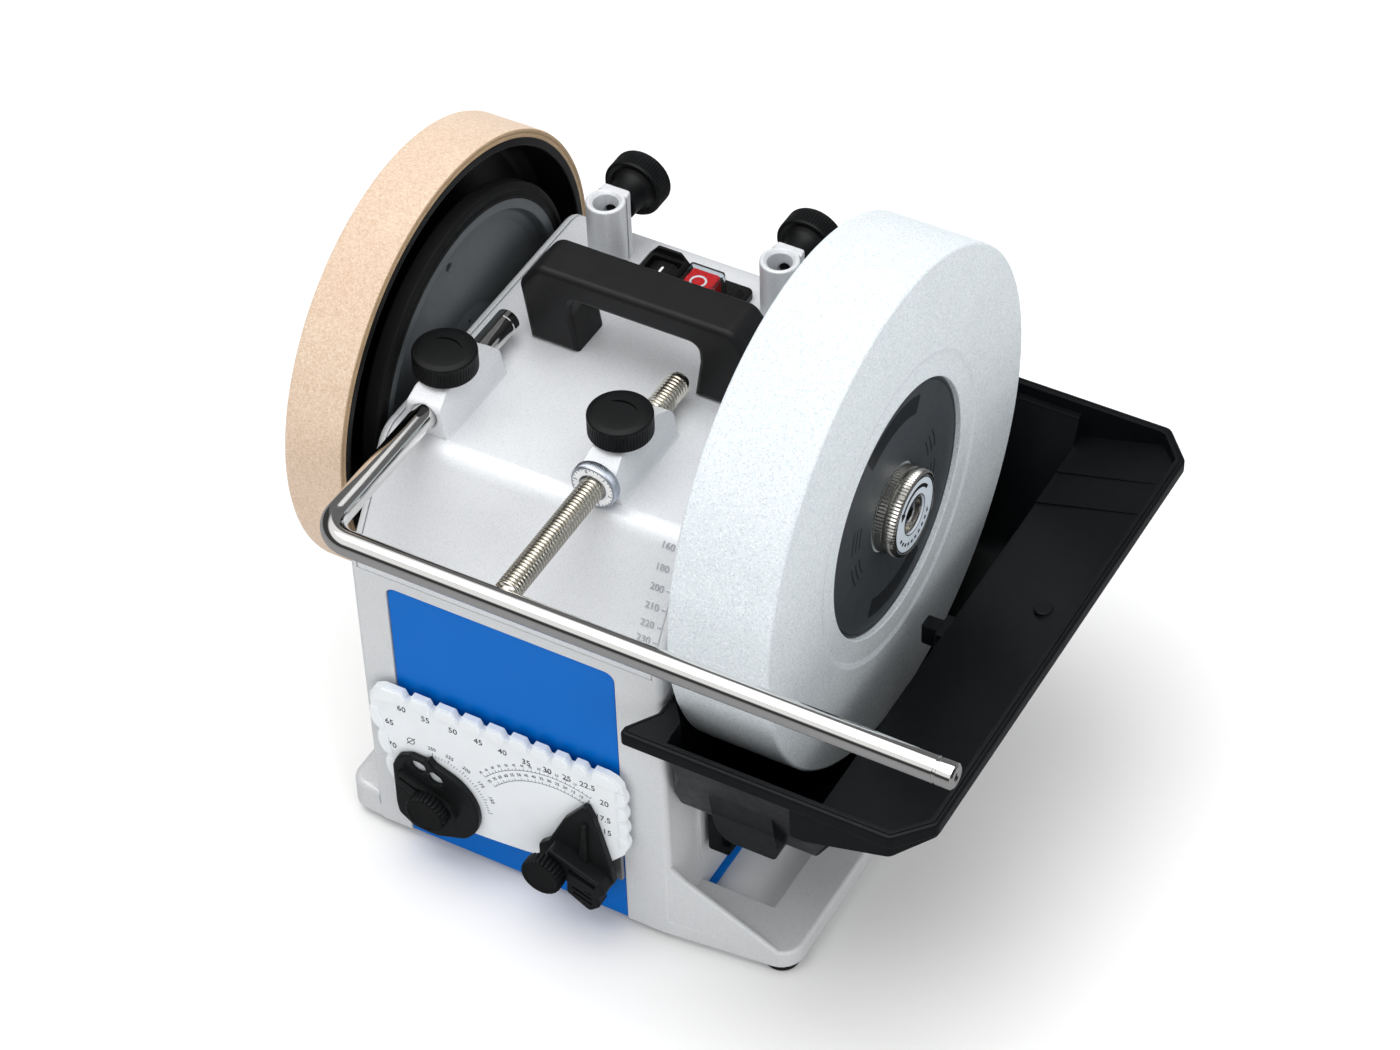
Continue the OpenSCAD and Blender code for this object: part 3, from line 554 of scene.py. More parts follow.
class Material(Nodes):
    """principled material; pattern sizes are in millimetres, scale is features per mm"""

    def __init__(self, name, rgb, rough, metal=0.0):
        self.data = bpy.data.materials.new(name)
        self.data.use_nodes = True
        super().__init__(self.data.node_tree)
        self.shader = self.tree.nodes["Principled BSDF"]
        self.rgb = linear(rgb)
        self.rough = rough
        self.colour = None
        self.height = None
        self.edge = None
        self.set("Base Color", self.rgb)
        self.set("Roughness", rough)
        self.set("Metallic", metal)
        coords = self.node("ShaderNodeTexCoord").outputs["Object"]
        self.coords = self.node("ShaderNodeMapping", Scale=(1000, 1000, 1000),
                                Vector=coords).outputs["Vector"]
        DRAFTS[name] = self

    def set(self, name, value):
        self.feed(self.shader.inputs[name], value)

    def noise(self, scale, detail=2.0, rough=0.5, stretch=(1, 1, 1)):
        stretched = self.node("ShaderNodeMapping", Scale=stretch, Vector=self.coords)
        return self.node("ShaderNodeTexNoise", Scale=scale, Detail=detail, Roughness=rough,
                         Vector=stretched.outputs["Vector"]).outputs["Fac"]

    def voronoi(self, scale, feature="F1", output="Distance"):
        return self.node("ShaderNodeTexVoronoi", {"feature": feature}, Scale=scale,
                         Vector=self.coords).outputs[output]

    def colour_layer(self, **settings):
        """mix node over the colour so far"""
        mix = self.node("ShaderNodeMix", {"data_type": "RGBA", **settings})
        self.feed(mix.inputs["A"], self.rgb if self.colour is None else self.colour)
        self.colour = mix.outputs["Result"]
        self.set("Base Color", self.colour)
        return mix

    def tint(self, factor, rgb, amount):
        """mixes another colour in by a 0..1 source"""
        mix = self.colour_layer()
        self.feed(mix.inputs["Factor"], self.math("MULTIPLY", factor, amount))
        mix.inputs["B"].default_value = linear(rgb)

    def vary(self, scale, amount, detail=2.0):
        """darker and lighter patches"""
        level = self.ramp(self.noise(scale, detail, 0.6), 0.3, 0.7, 1 - amount, 1 + amount)
        mix = self.colour_layer(blend_type="MULTIPLY")
        mix.inputs["Factor"].default_value = 1.0
        grey = self.node("ShaderNodeCombineColor")
        for i in range(3):
            self.feed(grey.inputs[i], level)
        self.feed(mix.inputs["B"], grey.outputs[0])

    def specks(self, scale, *layers):
        """scattered cells of other colours; layers of low, high, rgb, amount"""
        split = self.node("ShaderNodeSeparateColor")
        self.feed(split.inputs[0], self.voronoi(scale, output="Color"))
        for i, (low, high, rgb, amount) in enumerate(layers):
            self.tint(self.ramp(split.outputs[i], low, high), rgb, amount)

    def roughen(self, scale, amount, detail=2.0):
        level = self.ramp(self.noise(scale, detail, 0.6), 0.25, 0.75,
                          max(0.0, self.rough - amount), min(1.0, self.rough + amount))
        self.set("Roughness", level)

    def relief(self, source, depth):
        """adds a height"""
        height = self.math("MULTIPLY", source, depth * 0.001)
        self.height = height if self.height is None else self.math("ADD", self.height, height)

    def grain(self, scale, depth, detail=2.0, stretch=(1, 1, 1)):
        self.relief(self.noise(scale, detail, 0.6, stretch), depth)

    def turned(self, pitch, depth, centre=AXIS):
        """fine rings left by turning about an axis along X"""
        split = self.node("ShaderNodeSeparateXYZ")
        self.feed(split.inputs[0], self.coords)
        across = self.math("SUBTRACT", split.outputs["Y"], centre[0] + OFFSET_Y)
        above = self.math("SUBTRACT", split.outputs["Z"], centre[1] + OFFSET_Z)
        squares = [self.math("MULTIPLY", v, v) for v in (across, above)]
        radius = self.math("SQRT", self.math("ADD", *squares), 0.0)
        rings = self.math("ADD", self.math("MULTIPLY", radius, 1.0), split.outputs["X"])
        noise = self.node("ShaderNodeTexNoise", {"noise_dimensions": "1D"},
                          Scale=1.0 / pitch, Detail=2.0, W=rings)
        self.relief(noise.outputs["Fac"], depth)

    def soften(self, radius):
        """edges catch the light as if rounded"""
        node = self.node("ShaderNodeBevel", {"samples": 4}, Radius=radius / 1000)
        self.edge = node.outputs["Normal"]

    def build(self):
        if self.height is not None:
            bump = self.node("ShaderNodeBump", Strength=1.0, Distance=1.0, Height=self.height)
            if self.edge is not None:
                self.feed(bump.inputs["Normal"], self.edge)
            self.set("Normal", bump.outputs["Normal"])
        return self.data


# name: colour, roughness, grain depth, grain scale, colour variation
PLASTICS = {
    "rubber_black": ((30, 30, 31), 0.68, 0.02, 1.6, 0.08),
    "handle_black": ((27, 27, 28), 0.38, 0.030, 1.7, 0.05),
    "tray_black": ((13, 15, 17), 0.36, 0.016, 1.5, 0.06),
    "switch_black": ((23, 23, 24), 0.30, 0.008, 2.0, 0.04),
    "button_black": ((22, 22, 23), 0.28, 0.006, 2.0, 0.03),
    "button_red": ((214, 24, 28), 0.26, 0.006, 2.0, 0.03),
    "sign_white": ((242, 243, 243), 0.4, 0.004, 2.0, 0.02),
    "sign_black": ((30, 30, 33), 0.5, 0.004, 2.0, 0.03),
    "sign_grey": ((74, 74, 96), 0.5, 0.004, 2.0, 0.03),
    "dial_white": ((240, 242, 244), 0.35, 0.004, 2.0, 0.02),
    "face_blue_white": ((214, 224, 234), 0.30, 0.004, 2.0, 0.02),
    "label_slate": ((64, 69, 73), 0.50, 0.006, 3.0, 0.03),
    "label_dark": ((38, 41, 44), 0.5, 0.004, 3.0, 0.03),
    "drum_black": ((20, 20, 21), 0.34, 0.010, 1.2, 0.05),
    "disc_grey": ((92, 97, 100), 0.42, 0.012, 1.5, 0.04),
    "tyre_rubber": ((19, 19, 20), 0.60, 0.02, 1.4, 0.06),
    "bush_nylon": ((226, 222, 206), 0.45, 0.008, 1.5, 0.04),
    "capacitor_white": ((224, 224, 219), 0.38, 0.008, 1.2, 0.03),
    "wire_black": ((34, 34, 36), 0.5, 0.010, 1.5, 0.06),
    "gauge_white": ((228, 232, 235), 0.36, 0.006, 1.6, 0.015),
    "gauge_black": ((24, 25, 26), 0.36, 0.014, 2.0, 0.04),
    "knob_black": ((14, 15, 16), 0.40, 0.012, 2.2, 0.04),
    # hole_dark is painted shade: a near-black material standing in for the dark inside of holes
    "hole_dark": ((12, 12, 12), 0.7, 0.01, 2.0, 0.02),
    "grip_black": ((26, 26, 27), 0.55, 0.015, 1.8, 0.05),
}

# name: colour, roughness, colour variation
STEELS = {
    "steel_plain": ((178, 178, 180), 0.28, 0.04),
    "steel_zinc": ((196, 202, 212), 0.30, 0.06),
    "bar_chrome": ((228, 227, 225), 0.06, 0.01),
    "thread_chrome": ((214, 210, 200), 0.17, 0.03),
    "nut_nickel": ((204, 202, 196), 0.22, 0.03),
    "shaft_steel": ((186, 187, 190), 0.22, 0.03),
}

# name: pitch and depth of the turning rings about the main shaft
TURNED = {
    "drum_black": (1.2, 0.006),
    "disc_grey": (0.9, 0.005),
    "tyre_rubber": (0.7, 0.012),
    "nut_nickel": (0.5, 0.003),
    "shaft_steel": (0.4, 0.003),
}


def plastics():
    for name, (rgb, rough, grain, grain_scale, variation) in PLASTICS.items():
        m = Material(name, rgb, rough)
        if max(rgb) < 60:
            m.set("Specular IOR Level", 0.15)
        m.vary(scale=0.08, amount=variation, detail=3)
        m.roughen(scale=0.15, amount=0.05, detail=3)
        m.grain(scale=grain_scale, depth=grain, detail=3)
    m = DRAFTS["handle_black"]
    m.relief(m.voronoi(scale=1.9), depth=0.016)
    DRAFTS["button_red"].set("Coat Weight", 0.3)
    DRAFTS["disc_grey"].set("Metallic", 0.35)
    m = DRAFTS["tray_black"]
    m.grain(scale=0.12, depth=0.05, detail=2)
    scuffs = m.noise(scale=0.35, detail=5.0, rough=0.7)
    m.tint(m.ramp(scuffs, low=0.66, high=0.85), (60, 62, 66), amount=0.10)
    m.soften(radius=0.5)


def steels():
    for name, (rgb, rough, variation) in STEELS.items():
        m = Material(name, rgb, rough, metal=1.0)
        m.vary(scale=0.2, amount=variation, detail=3)
        m.roughen(scale=0.4, amount=min(0.06, rough * 0.5), detail=3)
    DRAFTS["steel_plain"].grain(scale=1.5, depth=0.004)
    DRAFTS["steel_zinc"].grain(scale=0.8, depth=0.006)
    DRAFTS["bar_chrome"].grain(scale=0.6, depth=0.0006, stretch=(0.08, 1, 1))
    DRAFTS["thread_chrome"].grain(scale=1.2, depth=0.003)


def paint(name, rgb, rough, metal):
    m = Material(name, rgb, rough, metal)
    m.vary(scale=0.03, amount=0.012)
    m.roughen(scale=0.06, amount=0.03)
    return m


def paints():
    # satin silver paint with metal flake under it
    m = paint("housing_grey", (212, 214, 216), rough=0.40, metal=0.16)
    m.specks(3.2, (0.82, 0.98, (236, 238, 240), 0.40), (0.84, 0.99, (150, 153, 157), 0.34))
    m.grain(scale=1.1, depth=0.010, detail=3)
    m.grain(scale=0.10, depth=0.03, detail=1)
    m.soften(radius=0.7)

    m = paint("cast_silver", (215, 217, 220), rough=0.38, metal=0.16)
    m.specks(3.0, (0.80, 0.98, (238, 240, 243), 0.42), (0.84, 0.99, (150, 154, 158), 0.34))
    m.grain(scale=1.0, depth=0.010, detail=3)
    m.grain(scale=0.09, depth=0.03, detail=1)
    m.soften(radius=0.9)

    m = paint("scale_sign", (176, 179, 182), rough=0.45, metal=0.3)
    m.grain(scale=2.0, depth=0.008)

    m = paint("frame_blue", (0, 102, 192), rough=0.34, metal=0.0)
    m.set("Specular IOR Level", 0.12)
    m.grain(scale=1.4, depth=0.012)
    m.grain(scale=0.25, depth=0.02, detail=1)
    m.soften(radius=0.4)


def clear_plastic():
    m = Material("cover_clear", (235, 240, 243), rough=0.05)
    m.set("Transmission Weight", 1.0)
    m.set("IOR", 1.25)
    m.roughen(scale=0.3, amount=0.03)
    m.grain(scale=0.3, depth=0.01)


def stone_grit():
    """aluminium oxide grit in a pale blue-grey bond"""
    m = Material("stone_grey", (212, 219, 223), rough=0.78)
    m.set("Specular IOR Level", 0.3)
    m.vary(scale=0.02, amount=0.02, detail=3)
    m.vary(scale=0.9, amount=0.05, detail=4)
    m.specks(1.5, (0.72, 0.98, (170, 180, 187), 0.50), (0.78, 0.99, (238, 243, 246), 0.60))
    m.relief(m.voronoi(scale=1.3), depth=0.10)
    m.grain(scale=2.6, depth=0.08, detail=3)


# suede patches: noise scale, detail, roughness, ramp low, high, colour, amount
SUEDE = [
    (0.035, 5.0, 0.65, 0.35, 0.70, (208, 180, 156), 0.60),
    (0.6, 6.0, 0.75, 0.42, 0.70, (176, 146, 118), 0.70),
    (0.28, 5.0, 0.7, 0.50, 0.72, (196, 168, 140), 0.45),
    (1.3, 4.0, 0.8, 0.48, 0.66, (240, 222, 204), 0.65),
]


def leathers():
    """suede face of tanned leather, and its cut edge"""
    m = Material("leather_tan", (214, 192, 171), rough=0.88)
    m.set("Specular IOR Level", 0.2)
    m.set("Sheen Weight", 0.2)
    m.set("Sheen Roughness", 0.5)
    for scale, detail, rough, low, high, rgb, amount in SUEDE:
        m.tint(m.ramp(m.noise(scale, detail, rough), low, high), rgb, amount)
    creases = m.voronoi(scale=0.55, feature="DISTANCE_TO_EDGE")
    m.tint(m.ramp(creases, low=0.05, high=0.0), (186, 156, 132), amount=0.25)
    m.grain(scale=0.9, depth=0.22, detail=5)
    m.relief(m.voronoi(scale=0.8), depth=0.10)

    m = Material("leather_edge", (178, 152, 120), rough=0.7)
    fibres = m.noise(scale=0.8, detail=5.0, rough=0.7, stretch=(4, 1, 1))
    m.tint(m.ramp(fibres, low=0.4, high=0.7), (132, 106, 78), amount=0.6)
    m.grain(scale=1.2, depth=0.05, detail=4, stretch=(3, 1, 1))


def motor_metals():
    m = Material("motor_cast", (150, 152, 155), rough=0.5, metal=0.8)
    m.vary(scale=0.1, amount=0.08, detail=4)
    m.grain(scale=0.8, depth=0.05, detail=4)

    m = Material("lamination", (110, 112, 117), rough=0.45, metal=0.9)
    m.grain(scale=2.0, depth=0.05, detail=0, stretch=(1, 0.001, 0.001))
    m.vary(scale=0.5, amount=0.10, detail=3)

    m = Material("copper_wire", (196, 104, 52), rough=0.32, metal=0.9)
    m.vary(scale=0.8, amount=0.18)
    m.turned(pitch=0.8, depth=0.10, centre=(20.0, 116.5))

    m = Material("magnet_grey", (150, 152, 155), rough=0.35, metal=0.8)
    m.vary(scale=0.5, amount=0.06, detail=3)
    m.grain(scale=1.0, depth=0.01)


plastics()
steels()
for turned_name, (ring_pitch, ring_depth) in TURNED.items():
    DRAFTS[turned_name].turned(ring_pitch, ring_depth)
paints()
clear_plastic()
stone_grit()
leathers()
motor_metals()
MATERIALS = {name: draft.build() for name, draft in DRAFTS.items()}
MATERIALS["button_green_black"] = MATERIALS["button_black"]

# ------------------------------------------------- housing and cast top

HALF_W, HALF_D, TOP, WALL = 81.0, 120.0, 233.0, 4.0
SLOPE_Y, SLOPE_Z = 35.0, 51.0  # run and rise of the front and rear slopes
LOWER_BEND = math.atan2(SLOPE_Y, SLOPE_Z)
UPPER_BEND = math.pi / 2 - LOWER_BEND
THROUGH_X = (HALF_W - WALL - 1, HALF_W + 4)  # spans that cut through a wall
THROUGH_Y = (HALF_D - WALL - 1, HALF_D + 3)

FOOT_OUTLINE = rounded([(-98.5, -118.2), (-78, -120), (80, -120), (142, -113.6),
                        (142, 113.6), (80, 120), (-78, 120), (-98.5, 118.2)],
                       [13, 10, 10, 12, 12, 10, 10, 13], 6)
FEET_AT = [(-88, -104), (131, -104), (-88, 104), (131, 104)]
FRAME_SCREWS_AT = [(-70, -84), (-70, 84), (71, -84), (71, 84)]
MOTOR_Y = 20.0
MOTOR_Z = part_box("motor_spindle")[0].z * 500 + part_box("motor_spindle")[1].z * 500 - OFFSET_Z

LEG_L, LEG_R, LEG_Z = -60.3, 29.9, 243.0  # horizontal support legs
SLEEVE_Y0, SLEEVE_Y1, FRONT_KNOB_Y = -79.5, -28.3, -59.0
UPRIGHT_X = (-46.0, 45.4)
UPRIGHT_Y, UPRIGHT_TOP, REAR_KNOB_Z = 60.0, 270.0, 259.0
LEG_R0 = 6.0
HANDLE_SCREWS_X, HANDLE_Y = (-39, 47.4), 10


def side_outline(inward, bottom):
    """side outline (y, z) of the housing moved inwards"""
    d = inward
    low = (HALF_D - d, TOP - SLOPE_Z - d * math.tan(LOWER_BEND / 2))
    high = (HALF_D - SLOPE_Y - d * math.tan(UPPER_BEND / 2), TOP - d)
    r_low, r_high = 12 - d * 0.6, 14 - d * 0.6
    points = [(-HALF_D + d, bottom), (-low[0], low[1]), (-high[0], high[1]), high, low,
              (HALF_D - d, bottom)]
    return rounded(points, [0, r_low, r_high, r_high, r_low, 0], 8)


def housing():
    shell = Solid().prism("x", -HALF_W, HALF_W, side_outline(0, 5), 3.2, 3.2, 5).object()
    fuse(shell, Solid().prism("z", 5, 15, FOOT_OUTLINE, 0.8, 2.2, 4))
    # thicker ledge of the foot on the left
    ledge = rounded([(-98.5, -118.2), (-80, -119.8), (-80, 119.8), (-98.5, 118.2)],
                    [13, 0, 0, 13], 6)
    fuse(shell, Solid().prism("z", 5, 22, ledge, 0.8, 3.0, 4))
    # gussets on the right, leaning in with the foot's outline
    gusset = rounded([(HALF_W - 2, 12), (HALF_W - 2, 53), (87.5, 45), (134.5, 14.6), (134.5, 12)],
                     [0, 0, 9, 5, 0], 6)
    for side in (-1, 1):
        web = Solid().prism("y", *mirrored(side, 116.0, 119.4), gusset, 1.4, 1.4, 3).object()
        for v in web.data.vertices:
            v.co.y -= side * 5.2 * max(0.0, (v.co.x - 81) / 54)
        fuse(shell, web)
    # hollow, open under the cast top
    cut(shell, Solid().prism("x", -HALF_W + WALL, HALF_W - WALL, side_outline(WALL, 3)))
    cut(shell, Solid().box(-HALF_W + WALL, HALF_W - WALL, -HALF_D - 5, HALF_D + 5, 176, TOP + 5))
    # right opening of the foot
    cut(shell, Solid().prism("z", 2, 30, rect(HALF_W - 0.001, 119.5, -90, 90, 0.8, 3)))
    # posts for the frame screws
    for x in (-77.5, 64):
        for y in (-90, 78):
            fuse(shell, Solid().box(x, x + 13.5, y, y + 12, 7.2, 30))
    # windows for the blue frame
    window = rounded([(-62.4, 2), (57.4, 2), (57.4, 170), (-62.4, 170)], [0, 0, 5, 5], 5)
    for side in (-1, 1):
        cut(shell, Solid().prism("y", *mirrored(side, *THROUGH_Y), window))
    cut(shell, Solid().box(HALF_W - WALL - 1, 84.6, -91.6, 91.6, 3, 7.4))
    # shaft, motor spindle, cord, feet and screws
    for side in (-1, 1):
        cut(shell, Solid().rod("x", *mirrored(side, *THROUGH_X), AXIS, 12.5, 48))
    left_wall = mirrored(-1, *THROUGH_X)
    slot = arc(MOTOR_Y, MOTOR_Z, 10, 0, 180, 16) + arc(MOTOR_Y, MOTOR_Z - 9, 10, 180, 360, 16)
    cut(shell, Solid().prism("x", *left_wall, slot))
    cut(shell, Solid().rod("y", *THROUGH_Y, (68, 40), 6.02, 32))
    for centre in FEET_AT:
        cut(shell, Solid().rod("z", 2, 11, centre, 3.05, 24))
    for centre in FRAME_SCREWS_AT:
        cut(shell, Solid().rod("z", 2, 24, centre, 2.0, 20))
    # upright slots in the left wall
    for i in range(6):
        y = -60 + i * 14
        cut(shell, Solid().prism("x", *left_wall, rect(y, y + 8, 34, 58, 3.9, 5)))
    clean(shell, 2e-3, 0.15)
    finish(shell, "housing_body", "housing_shell", "housing_grey")


# sleeve block from the front: half width, z, corner radius
SLEEVE_FRONT = [(12.6, TOP - 5, 0), (12.6, TOP - 0.4, 0), (11.0, TOP + 1.4, 3), (9.9, 243, 5),
                (7.6, 254.2, 2.0)]
# sleeve block from the side: y, z
SLEEVE_SIDE = rounded([(SLEEVE_Y0 - 0.01, TOP - 6), (SLEEVE_Y0, 248.6), (SLEEVE_Y0 + 9, 254.2),
                       (SLEEVE_Y1 - 14, 254.2), (SLEEVE_Y1 - 0.6, 247.5), (SLEEVE_Y1, TOP - 6)],
                      [0, 4, 6, 8, 6, 0], 4)


def sleeve_block(x):
    """drafted, rounded block round one horizontal leg"""
    radii = [r for w, z, r in SLEEVE_FRONT]
    front = [(x - w, z) for w, z, r in SLEEVE_FRONT]
    front += [(x + w, z) for w, z, r in SLEEVE_FRONT[::-1]]
    outline = rounded(front, radii + radii[::-1], 4)
    block = Solid().prism("y", SLEEVE_Y0, SLEEVE_Y1, outline, 0.8, 0.8, 3).object()
    clip(block, Solid().prism("x", x - 14, x + 14, SLEEVE_SIDE))
    return block


def cast_body():
    cast = Solid().prism("x", -76.75, 76.75, side_outline(0, 176.3), 0.9, 0.9, 3).object()
    for x in (LEG_L, LEG_R):
        fuse(cast, sleeve_block(x))
    # upright sleeves with a flat boss at the back
    for x in UPRIGHT_X:
        y = UPRIGHT_Y
        outline = arc(x, y, 9.4, 180 - 48, 360 + 48, 40)
        outline += rounded([(x + 7.6, y + 6.5), (x + 7.0, y + 11.5), (x - 7.0, y + 11.5),
                            (x - 7.6, y + 6.5)], [0, 1.6, 1.6, 0], 4)
        fuse(cast, Solid().prism("z", 226, UPRIGHT_TOP, outline, 0, 1.0, 3))
    clean(cast, 2e-3, 0.15)
    # hollow underside, shaft arms and handle bosses
    cut(cast, Solid().prism("x", -78, 78, side_outline(6, 150)))
    arm_outline = [(-17, TOP - 5)] + arc(*AXIS, 17, 180, 360, 28) + [(17, TOP - 5)]
    for side in (-1, 1):
        x0, x1 = mirrored(side, 64, 76.7)
        arm = Solid().prism("x", x0, x1, arm_outline).object()
        clip(arm, Solid().prism("x", x0 - 1, x1 + 1, side_outline(3, 150)))
        fuse(cast, arm)
    for x in HANDLE_SCREWS_X:
        fuse(cast, Solid().rod("z", TOP - 7, TOP - 3, (x, HANDLE_Y), 6, 32))
    # bores of the horizontal legs, chamfered at both ends
    y0, y1 = SLEEVE_Y0, SLEEVE_Y1
    bore = [(0, y0 - 1), (7.1, y0 - 1), (7.1, y0), (6.05, y0 + 1.0), (6.05, y1 - 1.0),
            (7.1, y1), (7.1, y1 + 4), (0, y1 + 4)]
    for x in (LEG_L, LEG_R):
        cut(cast, Solid().lathe("y", (x, LEG_Z), bore, 48))
        cut(cast, Solid().rod("z", LEG_Z, 258, (x, FRONT_KNOB_Y), 4.05, 32))
    top = UPRIGHT_TOP
    bore = [(0, 200), (6.05, 200), (6.05, top - 1.5), (7.55, top), (7.55, top + 1), (0, top + 1)]
    for x in UPRIGHT_X:
        cut(cast, Solid().lathe("z", (x, UPRIGHT_Y), bore, 48))
        cut(cast, Solid().rod("y", UPRIGHT_Y, UPRIGHT_Y + 14, (x, REAR_KNOB_Z), 4.05, 32))
    for side in (-1, 1):
        cut(cast, Solid().rod("x", *mirrored(side, 60, 80), AXIS, 9.02, 48))
    # room for the adjusting nut, opening for the switch, handle screw holes
    cut(cast, Solid().rod("y", y0 - 7.5, y0, (LEG_R, LEG_Z), 12.1, 64))
    cut(cast, Solid().box(-22.5, 22.5, 38.5, 65.5, 215, TOP + 3))
    for x in HANDLE_SCREWS_X:
        cut(cast, Solid().rod("z", 215, TOP + 2, (x, HANDLE_Y), 3.3, 24))
    return cast


def slope_point(up_slope, x, height):
    """point on the front slope, measured up from its lower edge and out from its face"""
    length = math.hypot(SLOPE_Y, SLOPE_Z)
    normal_y, normal_z = -SLOPE_Z / length, SLOPE_Y / length
    return Vector((x, -HALF_D + up_slope * SLOPE_Y / length + normal_y * height,
                   TOP - SLOPE_Z + up_slope * SLOPE_Z / length + normal_z * height))


SCALE_MARKS = (("160", 55.8), ("180", 45.8), ("200", 36.6), ("210", 27.9), ("220", 19.8),
               ("230", 12.6))  # number, place up the slope
TICK_FACES = [[3, 2, 1, 0], [4, 5, 6, 7], [0, 1, 5, 4], [1, 2, 6, 5], [2, 3, 7, 6], [3, 0, 4, 7]]


def scale_sign():
    """raised numbers and ticks up the right of the front slope"""
    sign = Solid()
    for label, place_up in SCALE_MARKS:
        def on_slope(x, y, z, base=place_up):
            return slope_point(base + y, 69.3 + x, z + 0.1)
        sign.text(label, 4.6, on_slope, 0.5, slot=1)
        corners = []
        for inward, height in ((0, -0.2), (0.05, 0.3)):
            low, high = place_up - 0.35 + inward, place_up + 0.35 - inward
            x0, x1 = 74.2 + inward, 76.0 - inward
            corners += [slope_point(u, x, height)
                        for u, x in ((low, x0), (low, x1), (high, x1), (high, x0))]
        sign.add(corners, TICK_FACES, slot=1)
    return sign


def cast_top():
    cast = cast_body()
    join(cast, scale_sign())
    finish(cast, "cast_top_cover", "cast_top", "cast_silver", ("cast_silver", "scale_sign"))


def blue_frame():
    """sheet bent up at the front and rear, with a floor between"""
    y0, y1 = HALF_D - 2.5, HALF_D - 0.5
    panel = rounded([(-62, 5.2), (57, 5.2), (57, 169.6), (-62, 169.6)], [0, 0, 4.5, 4.5], 6)
    sheet = Solid().prism("y", -y1, -y0, panel, 0.7, 0.4, 3).object()
    fuse(sheet, Solid().prism("y", y0, y1, panel, 0.4, 0.7, 3))
    fuse(sheet, Solid().box(-62, 57, -HALF_D + 0.7, HALF_D - 0.7, 5.2, 7.2))
    fuse(sheet, Solid().prism("z", 5.2, 7.2, rect(-76, 84.3, -91, 91, 4, 4), 0.3, 0.3, 2))
    for i in range(-3, 4):
        cut(sheet, Solid().prism("z", 4, 8, rect(i * 14 - 3, i * 14 + 3, -40, 20, 2.9, 5)))
    for centre in FRAME_SCREWS_AT:
        cut(sheet, Solid().rod("z", 4, 8, centre, 2.1, 20))
    clean(sheet, 2e-3, 0.15)
    finish(sheet, "blue_sheet_frame", "blue_frame", "frame_blue")


def feet():
    profile = eased([(0, 1.2), (4.2, 1.2), (4.2, 0), (8.5, 0), (8.5, 5), (3.0, 5), (3.0, 10),
                     (0, 10)], [0, 0.4, 0.3, 1.2, 0.6, 0.2, 0.8, 0])
    pads = Solid()
    for centre in FEET_AT:
        pads.lathe("z", centre, profile, 48)
    finish(pads, "rubber_foot_set", "rubber_feet", "rubber_black")


def rails():
    """two upright strips on the right wall"""
    strips = Solid()
    x0, x1 = HALF_W, HALF_W + 1.2
    for y in (-91, 91):
        outline = rounded([(x0, y - 1.2), (x1, y - 1.2), (x1, y + 1.2), (x0, y + 1.2)],
                          [0, 0.3, 0.3, 0], 2)
        strips.prism("z", 30, 150, outline, 0.3, 0.3, 2)
    finish(strips, "tray_rail_pair", "tray_rails", "tray_black", ("housing_grey",))


# ------------------------------------------------------ handle and switch


def handle():
    outline = rounded([(-51.5, 233), (-56.0, 264.5), (-46.3, 277.5), (54.7, 277.5),
                       (64.4, 264.5), (59.9, 233), (34.4, 233), (37.5, 254), (36.9, 263.5),
                       (-28.5, 263.5), (-29.1, 254), (-26, 233)],
                      [0, 6, 7.5, 7.5, 6, 0, 0, 12, 7, 7, 12, 0], 8)
    grip = Solid().prism("y", -3, 22, outline, 3.2, 3.2, 5).object()
    for x in HANDLE_SCREWS_X:
        cut(grip, Solid().rod("z", 230, 250, (x, HANDLE_Y), 3.0, 24))
    # moulded sink under the grip
    cut(grip, Solid().prism("z", 260, 265.5, rect(-18, 26, 5.5, 13.5, 3.5, 5)))
    clean(grip, 1e-3, 0.1)
    finish(grip, "carry_handle_grip", "carry_handle", "handle_black")


def screw_set(name, node, centres, profile, segments, cross, cross_z):
    """screws with a cross recess; cross is its half length and half width"""
    shells = Solid()
    for centre in centres:
        shells.lathe("z", centre, profile, segments)
    screws = shells.object()
    for x, y in centres:
        for half_x, half_y in (cross, cross[::-1]):
            cut(screws, Solid().box(x - half_x, x + half_x, y - half_y, y + half_y, *cross_z))
    finish(screws, name, node, "steel_plain")


def handle_screws():
    profile = eased([(0, 226), (3.2, 222.0), (5.4, 223.4), (5.4, 226), (2.98, 226),
                     (2.98, 249), (0, 249)], [0, 0.6, 0.5, 0.3, 0, 0.8, 0])
    screw_set("handle_screw_pair", "handle_screws", [(x, HANDLE_Y) for x in HANDLE_SCREWS_X],
              profile, 48, cross=(2.6, 0.6), cross_z=(220, 224.4))


def frame_screws():
    profile = eased([(0, 2.9), (2.4, 2.9), (3.8, 4.0), (3.8, 5.2), (1.98, 5.2), (1.98, 22),
                     (0, 22)], [0, 0.4, 0.6, 0.2, 0, 0.6, 0])
    screw_set("frame_screw_set", "frame_screws", FRAME_SCREWS_AT,
              profile, 40, cross=(2.0, 0.45), cross_z=(1, 4.2))


